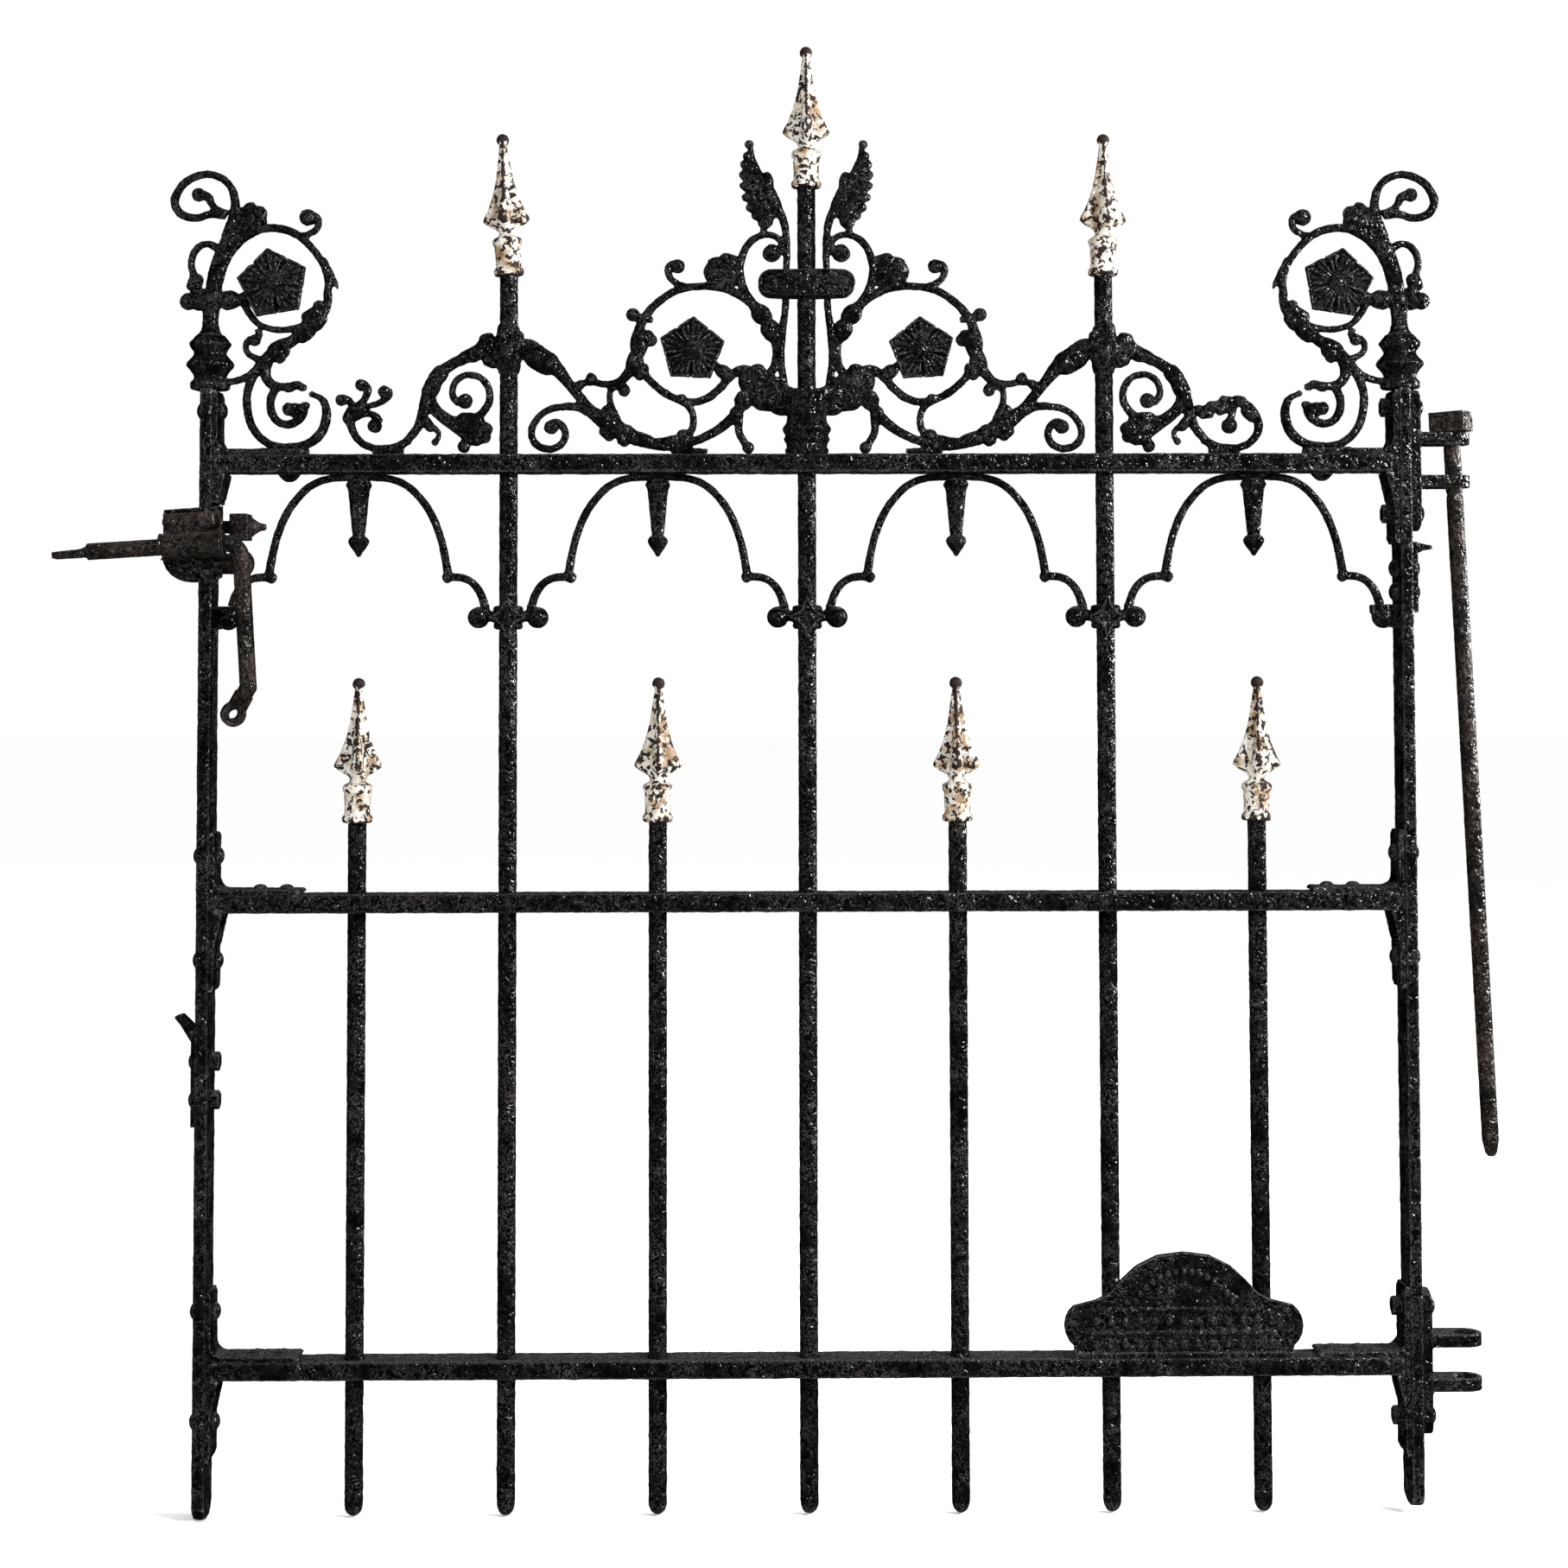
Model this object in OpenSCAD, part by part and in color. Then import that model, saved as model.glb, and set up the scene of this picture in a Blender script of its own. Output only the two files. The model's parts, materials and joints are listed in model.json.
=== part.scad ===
// Ornamental iron garden gate with scroll cresting, slide latch and pin hinges.
// Millimetres, +Z up. The origin is the middle of the lower hinge's bore, on the hinge axis.
// The gate lies in the XZ plane towards -X, and its front faces -Y.

/* [Frame] */
// Distance between neighbouring pickets, and from the end pickets to the stiles
picket_pitch = 114.3; // [113:0.1:116]
// Thickness of the flat bar of both stiles
stile_thickness = 9.5; // [9:0.1:10]
// Depth of the stiles, front to back
stile_depth = 32; // [31:0.5:34]
// Height of the rails' channel
rail_height = 14; // [13:0.5:15]
// Depth of the rails, front to back
rail_depth = 29; // [28:0.5:30]
// Wall of the rails' channel
rail_wall = 4; // [3:0.5:5]
// Top face of the bottom rail
bottom_rail_top = 5.5; // [4:0.5:7]
// Top face of the middle rail
middle_rail_top = 354; // [350:1:358]
// Top face of the top rail
top_rail_top = 688; // [687:0.5:689]

/* [Pickets] */
// Diameter of the round pickets
picket_d = 14; // [13:0.1:14.5]
// Radial clearance of a picket in a rail or a casting
picket_gap = 0.12; // [0.1:0.01:0.15]
// Foot of the pickets, below the lower hinge
picket_foot = 112; // [105:1:120]
// Underside of the finials on the short pickets
short_finial_z = 407.5; // [400:0.5:412]
// Underside of the finials on the tall side pickets
tall_finial_z = 826; // [815:1:835]
// Underside of the finial on the centre picket
centre_finial_z = 894; // [885:1:905]

/* [Hinges] */
// Distance from a stile's centre to the hinge axis
hinge_reach = 39.8; // [39.5:0.1:41]
// Middle of the upper hinge
upper_hinge_z = 683; // [682:0.5:684]
// Distance between the two ears of a hinge, centre to centre
ear_spacing = 33; // [32:0.5:34]
// Thickness of an ear
ear_thickness = 9.5; // [9:0.1:10.5]
// Bore of the lower hinge's ears
ear_bore = 16; // [15.5:0.1:16.5]
// Bore of the upper hinge's ears, worn wider by the pin
worn_bore = 17; // [16.8:0.1:17.4]
// Width of an ear, front to back
ear_width = 25; // [24:0.5:26]
// Thickness of a hinge's back plate
hinge_plate = 7.5; // [7:0.1:8]

/* [Hinge pin] */
// Diameter of the long hinge pin
pin_d = 12.7; // [12:0.1:13]
// Length of the pin under its head
pin_length = 553; // [300:1:560]
// Side of the pin's square head
pin_head = 26.7; // [25:0.1:27]
// Lean of the pin in its worn ears, in degrees
pin_lean = 2.4; // [2:0.1:2.8]
// Depth of the ring worn into the pin under the ears
pin_wear = 0.6; // [0.3:0.1:1]

/* [Latch] */
// Diameter of the latch bolt
bolt_d = 12.7; // [12:0.1:12.9]
// Height of the latch bolt's axis at its sleeve
latch_z = 617.5; // [616:0.5:619]
// Distance of the latch bolt's axis in front of the gate's middle plane
latch_front = 31.6; // [31.6:0.1:33]
// Slope of the latch, in degrees
latch_slope = 3.5; // [3:0.1:4]
// Length of the rolled sleeve
sleeve_length = 43; // [41:0.5:44]
// Bore of the rolled sleeve
sleeve_bore = 13.6; // [13.5:0.1:13.9]

/* [Hidden] */

black = "#1d1d1f";
rust = "#4b3629";
cream = "#d8d0bf";

$fn = 48;
smooth_steps = 4;

// The frame in plan: u runs along the gate from its centre picket
stile_u = 4 * picket_pitch;
axis_u = stile_u + hinge_reach;
stile_inner = stile_u - stile_thickness / 2;
stile_outer = stile_u + stile_thickness / 2;
stile_top = 738;
latch_stile_foot = 112;
hinge_stile_foot = 107;
end_chamfer = 9;
end_radius = 12;
picket_hole = picket_d + 2 * picket_gap;
tall_pickets = [2, 4, 6];
picket_names = [1:7];

// Corner brackets
leg = 4;
bracket_depth = 29;
shelf_length = 70;
fillet = 8;
rail_half = stile_inner - leg - 0.05;
rivet_d = 8;
rivet_hole = 8.2;
rail_rivets = [416, 396];
rail_tops = [bottom_rail_top, middle_rail_top, top_rail_top];

// Finials
finial_height = 111;
socket_depth = 18;

// Hinges
hinge_plate_height = 109;
hinge_bolt_gap = 82;
hinge_plate_depth = 28;
head_height = 15;
head_turn = 60;
axle = [-sin(pin_lean), 0, cos(pin_lean)];
head_lift = ear_spacing / 2 + ear_thickness / 2 + 1.0;

// Castings of the cresting, front to back
casting = 11;
joint_u = 134;
joint_gap = 0.1;
vase_r = 18.5;
vase_height = 48;

// Arches
arch_depth = 12;
rail_under = top_rail_top - rail_height;
arch_centres = [-3, -1, 1, 3] * picket_pitch;
collar_z = 563.5;
collar_pad = 572.4;
ball_reach = 23;
boss_z = 563.2;
pendant_stud = 6;

// Latch
latch_u = 464;
sleeve_wall = 2.8;
strap_plate = 3.2;
cheek_front = latch_front - sleeve_bore / 2 - sleeve_wall;
ring_width = 3;
ring_gap = 0.4;
bend_r = 12;
handle_x = sleeve_length / 2 + ring_gap + ring_width + 0.1 + bend_r;
strap_height = 25.3;
handle_drop = 109;
latch_studs = [-481, -452];
stud_z = 636.5;
through_bolts = [633, 605];

// A hinge's bolts, a bracket's rivets and all other pins that cross a stile, by height
hinge_pin_rows = [for (z = [0, upper_hinge_z], s = [-1, 1]) z + s * hinge_bolt_gap / 2];
middle_rivets = [304, 383];
left_rivets = concat([-41, 41, 722], middle_rivets);
hook_bolts = [199, 228];
stop_bolts = [582, 600];
latch_stile_holes = concat(left_rivets, hook_bolts, through_bolts);
hinge_stile_holes = concat(hinge_pin_rows, middle_rivets, stop_bolts);

// ---------- shared shapes ----------

module on_gate() {
    translate([-axis_u, 0, 0]) children();
}

module mirrored(right) {
    mirror([right ? 1 : 0, 0, 0]) children();
}

// A flat shape drawn in x and z, standing from y = front to y = front + thickness
module upright(front, thickness) {
    translate([0, front + thickness, 0]) rotate([90, 0, 0]) linear_extrude(thickness) children();
}

// A flat shape drawn in y and z, running along x
module along_x(length) {
    rotate([90, 0, 90]) linear_extrude(length) children();
}

module x_cylinder(d, x0, x1) {
    translate([x0, 0, 0]) rotate([0, 90, 0]) cylinder(d = d, h = x1 - x0);
}

// A turned shape from its radius and height pairs
module turned(profile) {
    rotate_extrude() polygon(concat([[0, profile[0][1]]], profile, [[0, profile[len(profile) - 1][1]]]));
}

// A domed head that starts at x = 0 and points towards +x
module dome_head(d, h) {
    rotate([0, 90, 0]) rotate_extrude()
        polygon(concat([[0, 0]], [for (a = [0:15:75]) [d / 2 * cos(a), h * sin(a)]], [[0, h]]));
}

// Catmull-Rom value between p1 and p2
function between(p0, p1, p2, p3, t) =
    0.5 * (2 * p1 + (p2 - p0) * t + (2 * p0 - 5 * p1 + 4 * p2 - p3) * t * t
        + (3 * p1 - p0 - 3 * p2 + p3) * t * t * t);

// A smooth run through [x, z, width] points
function flow(pts) = concat(
    [for (i = [0:len(pts) - 2], k = [0:smooth_steps - 1])
        between(pts[max(i - 1, 0)], pts[i], pts[i + 1], pts[min(i + 2, len(pts) - 1)], k / smooth_steps)],
    [pts[len(pts) - 1]]);

function heading(run, i) =
    let (a = run[max(i - 1, 0)], b = run[min(i + 1, len(run) - 1)])
    atan2(b[1] - a[1], b[0] - a[0]);

function edge_point(run, i, side) =
    [run[i][0] - side * sin(heading(run, i)) * run[i][2] / 2,
     run[i][1] + side * cos(heading(run, i)) * run[i][2] / 2];

// A bar of changing width along a smooth run
module bar(pts) {
    run = flow(pts);
    last = len(run) - 1;
    polygon(concat([for (i = [0:last]) edge_point(run, i, 1)], [for (i = [last:-1:0]) edge_point(run, i, -1)]));
}

module disc(x, z, r) {
    translate([x, z]) circle(r = r, $fn = 24);
}

// One clean outline from overlapping bars and discs
module cast_outline() {
    offset(delta = 0.02) children();
}

// ---------- frame ----------

module stile(x, holes, outline) {
    difference() {
        translate([x - stile_thickness / 2, 0, 0]) along_x(stile_thickness) polygon(outline);
        for (z = holes) translate([0, 0, z]) x_cylinder(rivet_hole, x - stile_thickness, x + stile_thickness);
    }
}

module latch_stile() {
    half = stile_depth / 2;
    color(black) on_gate() stile(-stile_u, latch_stile_holes, [
        [-half + end_chamfer, -latch_stile_foot], [half - end_chamfer, -latch_stile_foot],
        [half, -latch_stile_foot + end_chamfer], [half, stile_top], [-half, stile_top],
        [-half, -latch_stile_foot + end_chamfer]]);
}

module hinge_stile() {
    half = stile_depth / 2;
    bend = half - end_radius;
    low = -hinge_stile_foot + end_radius;
    color(black) on_gate() stile(stile_u, hinge_stile_holes, concat(
        [for (a = [180:15:270]) [-bend + end_radius * cos(a), low + end_radius * sin(a)]],
        [for (a = [270:15:360]) [bend + end_radius * cos(a), low + end_radius * sin(a)]],
        [[half, stile_top], [-half, stile_top]]));
}

module rail(top, numbers, bolt_holes) {
    half = rail_depth / 2;
    inner = half - rail_wall;
    under = top - rail_wall;
    on_gate() difference() {
        translate([-rail_half, 0, 0]) along_x(2 * rail_half) polygon([
            [-half, top], [-half, top - rail_height], [-inner, top - rail_height], [-inner, under],
            [inner, under], [inner, top - rail_height], [half, top - rail_height], [half, top]]);
        for (n = numbers) translate([(n - 4) * picket_pitch, 0, under - 1]) cylinder(d = picket_hole, h = rail_wall + 2);
        for (u = bolt_holes) translate([u, 0, under - 1]) cylinder(d = pendant_stud + 0.2, h = rail_wall + 2);
    }
}

rivet_places = [for (u = rail_rivets, s = [-1, 1]) s * u];

module top_rail() {
    color(black) rail(top_rail_top, tall_pickets, concat(rivet_places, arch_centres));
}

module middle_rail() {
    color(black) rail(middle_rail_top, picket_names, rivet_places);
}

module bottom_rail() {
    color(black) rail(bottom_rail_top, picket_names, rivet_places);
}

// ---------- pickets and finials ----------

function finial_z(n) = n == 4 ? centre_finial_z : (n == 2 || n == 6) ? tall_finial_z : short_finial_z;

module picket(n) {
    r = picket_d / 2;
    color(black) on_gate() translate([(n - 4) * picket_pitch, 0, 0]) turned(concat(
        [for (a = [0:15:75]) [r * sin(a), -picket_foot + 9 * (1 - cos(a))]],
        [[r, -picket_foot + 9], [r, finial_z(n) + socket_depth]]));
}

// A spear head with four barbed wings on a turned socket
module finial(n) {
    r = picket_hole / 2;
    wing = [[0, 100], [4, 78], [8.5, 66], [13.5, 54], [19, 43], [18.5, 41.5], [6, 38], [0, 37]];
    color(cream) on_gate() translate([(n - 4) * picket_pitch, 0, finial_z(n)]) difference() {
        union() {
            turned([
                [9.6, 0], [10.5, 1.5], [10.5, 4], [8.9, 6], [8.9, 19], [10.3, 21], [10.8, 23.5], [9.6, 26.5],
                [6.5, 29], [4.6, 33], [4.6, 40], [5, 60], [3.6, 84], [3, 100], [4.6, 102], [5.6, 105],
                [4.9, 108.5], [3, 110.4]]);
            for (a = [0, 90]) rotate([0, 0, a]) upright(-2.2, 4.4)
                polygon(concat(wing, [for (i = [len(wing) - 2:-1:1]) [-wing[i][0], wing[i][1]]]));
        }
        translate([0, 0, -1]) cylinder(r = r, h = socket_depth + 1.05);
    }
}

// ---------- corner brackets ----------

// x runs inwards from the stile's inner face, z from the rail's top face
module bracket(up, down, rivets) {
    seat = -rail_height;
    difference() {
        upright(-bracket_depth / 2, bracket_depth) polygon(concat(
            [[0, up], [0, -down], [2.5, -down], [leg, -down + 4], [leg, seat - 26], [leg + 6, seat], [leg, seat],
             [leg, 0], [shelf_length - 3, 0], [shelf_length, 2], [shelf_length - 3, leg]],
            [for (a = [270:-15:180]) [leg + fillet + fillet * cos(a), leg + fillet + fillet * sin(a)]],
            [[leg, up - 4], [2.5, up]]));
        for (z = rivets) translate([0, 0, z]) x_cylinder(rivet_hole, -1, leg + 2);
        for (u = rail_rivets) translate([stile_inner - u, 0, -1]) cylinder(d = pendant_stud + 0.2, h = leg + 2);
    }
}

module placed_bracket(right, top, up, down, heights) {
    color(black) on_gate() mirrored(right) translate([-stile_inner, 0, top])
        bracket(up, down, [for (z = heights) z - top]);
}

module bracket_top_left() {
    placed_bracket(false, top_rail_top, 49, 37, [722]);
}

module bracket_middle_left() {
    placed_bracket(false, middle_rail_top, 47, 73, middle_rivets);
}

module bracket_bottom_left() {
    placed_bracket(false, bottom_rail_top, 52, 74, [-41, 41]);
}

module bracket_top_right() {
    placed_bracket(true, top_rail_top, 49, 69, hinge_pin_rows);
}

module bracket_middle_right() {
    placed_bracket(true, middle_rail_top, 47, 73, middle_rivets);
}

module bracket_bottom_right() {
    placed_bracket(true, bottom_rail_top, 52, 74, hinge_pin_rows);
}

// ---------- cresting: corner scrolls ----------
// x runs inwards from the stile's centre, z from the top rail's top face

module corner_outline() {
    // Post, knob and the arm that carries the rosette
    bar([[0, 94, 15], [0, 104, 14], [1, 120, 14], [4, 138, 11], [9, 157, 10], [15, 172, 9]]);
    bar([[-15, 119, 12], [0, 120, 14], [20, 120, 13], [36, 124, 14], [49, 131, 15]]);
    disc(-15, 119, 6);
    // Small loop behind the post
    bar([[-7, 121, 7], [-11, 134, 6], [-13, 146, 5], [-10, 157, 5], [-2, 162, 5], [7, 158, 7]]);
    // Upper loop and its inner curl
    bar([[12, 166, 10], [18, 182, 8], [19, 196, 7], [14, 208, 6], [5, 215, 6], [-7, 216, 6], [-18, 212, 6],
        [-26, 203, 6], [-28, 194, 6], [-23, 186, 6], [-12, 183, 6], [0, 186, 6], [10, 184, 8]]);
    bar([[14, 190, 6], [6, 190, 5], [0, 194, 6], [-3, 200, 6], [-9, 202, 6]]);
    disc(-10, 200, 5);
    // Fan leaf
    polygon([[14, 168], [20, 193], [30, 195], [38, 193], [42, 188], [42, 179], [34, 177], [22, 171]]);
    // Large ring
    bar([[5, 126, 10], [12, 147, 8], [20, 159, 7], [30, 168, 6.5], [42, 173, 6], [54, 173, 6], [67, 169, 6],
        [77, 161, 5.5], [85, 151, 5], [89, 139, 5], [90, 126, 5.5], [89, 114, 7], [83, 104, 9]]);
    polygon([[89, 138], [99, 126], [90, 124]]);
    bar([[72, 167, 5], [81, 171, 5], [83, 179, 5], [78, 183, 5]]);
    disc(77, 181, 6.5);
    // Crescent under the rosette
    bar([[82, 106, 8], [73, 102, 6], [61, 98, 5], [48, 98, 5], [37, 102, 5], [31, 110, 7]]);
    // Leafy stem down to the knot, hook and arm
    bar([[84, 107, 9], [73, 97, 12], [62, 89, 11], [53, 82, 13], [46, 74, 13], [44, 62, 9]]);
    bar([[38, 99, 5], [34, 93, 5], [30, 86, 5], [31, 80, 5], [37, 76, 5], [44, 76, 6]]);
    disc(38, 91, 3.5);
    bar([[43, 68, 8], [35, 61, 6], [26, 57, 5.5], [14, 56, 6]]);
    // Hoop on the rail and its inner volute
    bar([[44, 64, 8], [36, 56, 7], [31, 45, 7], [31, 34, 6.5], [35, 22, 6.5], [42, 13, 6.5], [51, 8, 6], [62, 7, 6],
        [74, 8.5, 7], [84, 15, 7.5], [90, 25, 7], [91, 35, 6], [88, 43, 4.5], [80, 49, 4]]);
    bar([[44, 64, 7], [50, 56, 7], [58, 51, 6], [68, 53, 5], [74, 50, 4]]);
    bar([[60, 50, 6], [52, 45, 7], [49, 36, 6.5], [52, 27, 6], [60, 24, 6], [68, 26, 6.5], [73, 32, 6], [75, 38, 5]]);
    polygon([[57, 34], [62, 38], [77, 40], [73, 30], [64, 28]]);
    // Foot on the bracket
    translate([50, 4]) square([22, 5]);
}

baluster = [
    [13.5, 50.2], [14.5, 52], [14.5, 58], [12.5, 60], [12.8, 62], [17.2, 67], [17.5, 70], [16.5, 73], [12, 77],
    [13.6, 80], [15, 84], [14.6, 87], [12, 90], [10.5, 94], [8.2, 97], [7.6, 100]];

module corner_scroll(right) {
    color(black) on_gate() mirrored(right) translate([-stile_u, 0, top_rail_top]) difference() {
        union() {
            upright(-casting / 2, casting) cast_outline() corner_outline();
            turned(baluster);
        }
        translate([stile_u - rail_rivets[1], 0, 0]) cylinder(d = pendant_stud + 0.2, h = 12);
    }
}

// ---------- cresting: side scrolls ----------
// x runs inwards from the picket's centre, z from the top rail's top face

module side_outline() {
    // Outer arm down to the open curls
    bar([[0, 82, 20], [-12, 83, 20], [-22, 80, 17], [-33, 75, 9], [-45, 69, 9], [-57, 60, 12], [-62, 48, 12],
        [-65, 34, 9], [-70, 20, 7], [-79, 10, 6.5], [-91, 5, 6.5], [-105, 5.5, 6], [-116, 11, 5.5], [-121, 20, 6],
        [-120, 30, 9], [-119, 38, 6]]);
    bar([[-119, 33, 6], [-121, 40, 5], [-126, 44, 5]]);
    disc(-128, 42, 4.5);
    bar([[-118, 36, 5], [-110, 44, 5], [-109, 51, 6]]);
    disc(-112, 53, 4.8);
    bar([[-119, 36, 5], [-105, 38, 4], [-95, 42, 5], [-92, 47, 6]]);
    disc(-95, 48, 4.8);
    bar([[-120, 28, 6], [-109, 31, 5], [-101, 27, 5], [-99, 22, 5]]);
    disc(-103, 22, 5.5);
    // Volute of the outer arm with its leaf bud, twig and ball
    bar([[-58, 50, 7], [-55, 38, 7], [-46, 29, 7], [-34, 26, 6], [-23, 29, 7], [-16, 38, 6], [-14, 48, 5.5],
        [-19, 57, 5], [-28, 61, 5], [-37, 59, 5], [-42, 52, 5], [-43, 44, 5], [-38, 39, 6]]);
    disc(-33, 42, 6.5);
    polygon([[-42, 27], [-20, 28], [-15, 20], [-11, 14], [-14, 9], [-22, 8], [-31, 9], [-34, 17]]);
    bar([[-60, 34, 7], [-48, 24, 6], [-37, 18, 5], [-33, 11, 6]]);
    disc(-35, 6, 5);
    bar([[-65, 25, 7], [-58, 21, 5], [-54, 18, 5], [-56, 10, 5]]);
    // Inner arm down to the centre casting
    bar([[0, 82, 18], [10, 81, 15], [22, 77, 14], [32, 71, 14], [40, 63, 11], [47, 54, 8], [54, 45, 8],
        [62, 35, 10], [72, 26, 14], [82, 19, 13], [95, 12, 10], [112, 9, 8]]);
    bar([[64, 32, 8], [46, 35, 6], [33, 34, 5.5], [23, 28, 5.5], [18, 18, 5.5], [22, 9, 6], [31, 5, 6],
        [40, 9, 5.5], [44, 17, 5.5], [40, 24, 6]]);
    disc(34, 20, 6);
    // Link to the ring of the centre casting
    bar([[50, 54, 6], [57, 56, 5], [66, 55, 5], [76, 55, 5], [85, 57, 7], [92, 64, 10], [97, 76, 12], [100, 86, 8]]);
    disc(64, 59, 3.5);
    bar([[80, 56, 5], [78, 46, 5], [79, 36, 5], [83, 26, 6]]);
    bar([[80, 52, 5], [86, 53, 4], [89, 49, 4]]);
    disc(87, 46, 4.5);
    disc(88, 25, 5);
    disc(77, 14, 4.5);
    // Foot on the rail
    translate([-104, 0]) square([26, 5]);
}

module side_scroll(right) {
    reach = 2 * picket_pitch - joint_u - joint_gap / 2;
    color(black) on_gate() mirrored(right) translate([-2 * picket_pitch, 0, top_rail_top]) difference() {
        union() {
            intersection() {
                upright(-casting / 2, casting) cast_outline() side_outline();
                translate([-200, -50, 0]) cube([200 + reach, 100, 120]);
            }
            translate([0, 0, 68]) turned([[9.5, 0], [11.5, 3], [12, 12], [11, 20], [9, 24]]);
        }
        cylinder(d = picket_hole, h = 120);
    }
}

// ---------- cresting: centre scrolls ----------
// x is negative to the left of the centre picket, z runs from the top rail's top face

module centre_outline() {
    // Wing
    disc(-44, 238, 3.8);
    polygon([[-47, 239], [-42, 236], [-42, 224], [-37, 213], [-31, 212], [-28, 202], [-22, 190], [-18, 180],
        [-30, 181], [-40, 181], [-47, 189], [-50, 200], [-51, 212], [-49, 226]]);
    for (lobe = [[-49, 221, 5], [-50.5, 212, 5], [-50.5, 203, 5], [-48.5, 194, 5], [-44, 187, 5.5], [-38, 183, 5]])
        disc(lobe[0], lobe[1], lobe[2]);
    // Upright stem beside the picket
    bar([[-31, 211, 6], [-27, 198, 6], [-21, 186, 6], [-17, 176, 5.5], [-16, 164, 5.5], [-16, 140, 5.5],
        [-16, 110, 5.5], [-18, 92, 6.5], [-20, 76, 7], [-18, 60, 6], [-16, 44, 6]]);
    // Ear with its volute
    bar([[-33, 183, 7], [-33, 168, 6]]);
    bar([[-18, 167, 5], [-27, 168, 5], [-36, 168, 5], [-45, 161, 5.5], [-50, 151, 6], [-51, 139, 6],
        [-48, 127, 7], [-42, 116, 9], [-34, 107, 14], [-28, 98, 11], [-24, 88, 8], [-23, 77, 7], [-25, 65, 7],
        [-32, 56, 8]]);
    disc(-27, 159, 7.5);
    // Square leaf
    polygon([[-50, 148], [-60, 153], [-72, 154], [-77, 151], [-79, 146], [-79, 131], [-66, 127], [-48, 118]]);
    // Wreath ring
    bar([[-36, 109, 9], [-45, 117, 8], [-56, 124, 7], [-68, 128, 6], [-83, 129, 5.5], [-98, 127, 5.5],
        [-112, 120, 6], [-123, 109, 7], [-129, 95, 8], [-130, 79, 8], [-126, 65, 7], [-117, 54, 6],
        [-105, 46, 6], [-92, 42, 5.5], [-78, 44, 6], [-66, 52, 6], [-57, 61, 7], [-49, 66, 7], [-42, 64, 7],
        [-38, 56, 8]]);
    disc(-133, 108, 5);
    disc(-125, 84, 5);
    bar([[-90, 129, 5], [-101, 131, 5], [-108, 138, 5], [-107, 146, 5], [-100, 147, 5]]);
    disc(-101, 144, 4.8);
    bar([[-56, 60, 8], [-68, 68, 10], [-88, 80, 14]]);
    // Leaf mass beside the vase
    polygon([[-49, 64], [-51, 46], [-54, 37], [-44, 37], [-36, 39], [-28, 35], [-16, 38], [-15, 50], [-29, 54],
        [-36, 60]]);
    // Lower arm with its tendril and foot
    bar([[-47, 45, 12], [-54, 33, 10], [-62, 24, 8], [-75, 15, 7], [-90, 9, 7], [-104, 6, 6.5], [-118, 8, 7.5],
        [-136, 14, 9]]);
    bar([[-98, 43, 6], [-89, 37, 5.5], [-85, 27, 5.5], [-86, 14, 5.5]]);
    disc(-94, 14, 5.5);
    bar([[-54, 27, 7], [-52, 15, 6], [-47, 8, 7], [-44, 2, 8]]);
    translate([-50, 0]) square([12, 4]);
    translate([-112, 0]) square([14, 6]);
}

module centre_scroll(right) {
    color(black) on_gate() mirrored(right) translate([0, 0, top_rail_top]) difference() {
        upright(-casting / 2, casting) cast_outline() difference() {
            centre_outline();
            translate([-200, -1]) square([200 - joint_u + joint_gap / 2, 100]);
        }
        translate([0, 0, -1]) cylinder(r = vase_r + joint_gap, h = vase_height + 1 + joint_gap);
    }
}

module centre_vase() {
    color(black) on_gate() translate([0, 0, top_rail_top]) difference() {
        turned([[15, 0], [15.5, 5], [17, 11], [17.5, 18], [18.5, 20], [17.8, 23], [18, 34], [18.4, 40], [17, 44],
            [13, vase_height]]);
        translate([0, 0, -1]) cylinder(d = picket_hole, h = vase_height + 2);
    }
}

// ---------- picket clamp over the centre stems ----------

clamp_z = 820;
clamp_half = 37;
clamp_height = 20;
clamp_plate = 4;
clamp_front_y = picket_d / 2 + 0.1;
clamp_bolt_u = 27;

module clamp_plate_shape() {
    difference() {
        hull() for (s = [-1, 1]) translate([s * (clamp_half - clamp_height / 2), 0]) circle(d = clamp_height);
        for (s = [-1, 1]) translate([s * clamp_bolt_u, 0]) circle(d = pendant_stud + 0.2);
    }
}

module clamp_front() {
    color(black) on_gate() translate([0, 0, clamp_z]) upright(-clamp_front_y - clamp_plate, clamp_plate)
        clamp_plate_shape();
}

module clamp_back() {
    color(black) on_gate() translate([0, 0, clamp_z]) upright(clamp_front_y, clamp_plate) clamp_plate_shape();
}

// ---------- rosettes ----------

rosette_corner = [stile_u - 49, 131];
rosette_centre = [88, 80];

// Five petals that make a pentagon, with a raised boss
module rosette(r) {
    front = -casting / 2 - 6;
    upright(front, 6 - 0.02) polygon([for (i = [0:4], k = [0:1])
        let (a = 90 + 72 * i + 36 * k, q = k == 0 ? r : r * 0.8) [q * cos(a), q * sin(a)]]);
    translate([0, front, 0]) rotate([0, 0, -90]) dome_head(13, 4);
}

module rosettes() {
    for (side = [-1, 1]) color(black) on_gate() {
        translate([side * rosette_corner[0], 0, top_rail_top + rosette_corner[1]]) rosette(27);
        translate([side * rosette_centre[0], 0, top_rail_top + rosette_centre[1]]) rosette(25);
    }
}

// ---------- arches, pendants and collars ----------

// x runs from the arch's centre, z from the top rail's underside
module arch_half() {
    bar([[-1, -3, 6], [12, -3, 6], [25, -4.5, 6], [36, -9, 6.2], [46, -18, 6.2], [54, -29, 6.2], [60, -42, 6.2],
        [64, -55, 6.2], [66.5, -67, 6.5], [68.5, -79, 7]]);
    bar([[66, -80, 7], [74, -79.5, 6.5], [82, -81, 6.2], [89, -86, 6.2], [93.5, -93, 6.5],
        [96.5, collar_pad - rail_under, 7]]);
}

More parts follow.
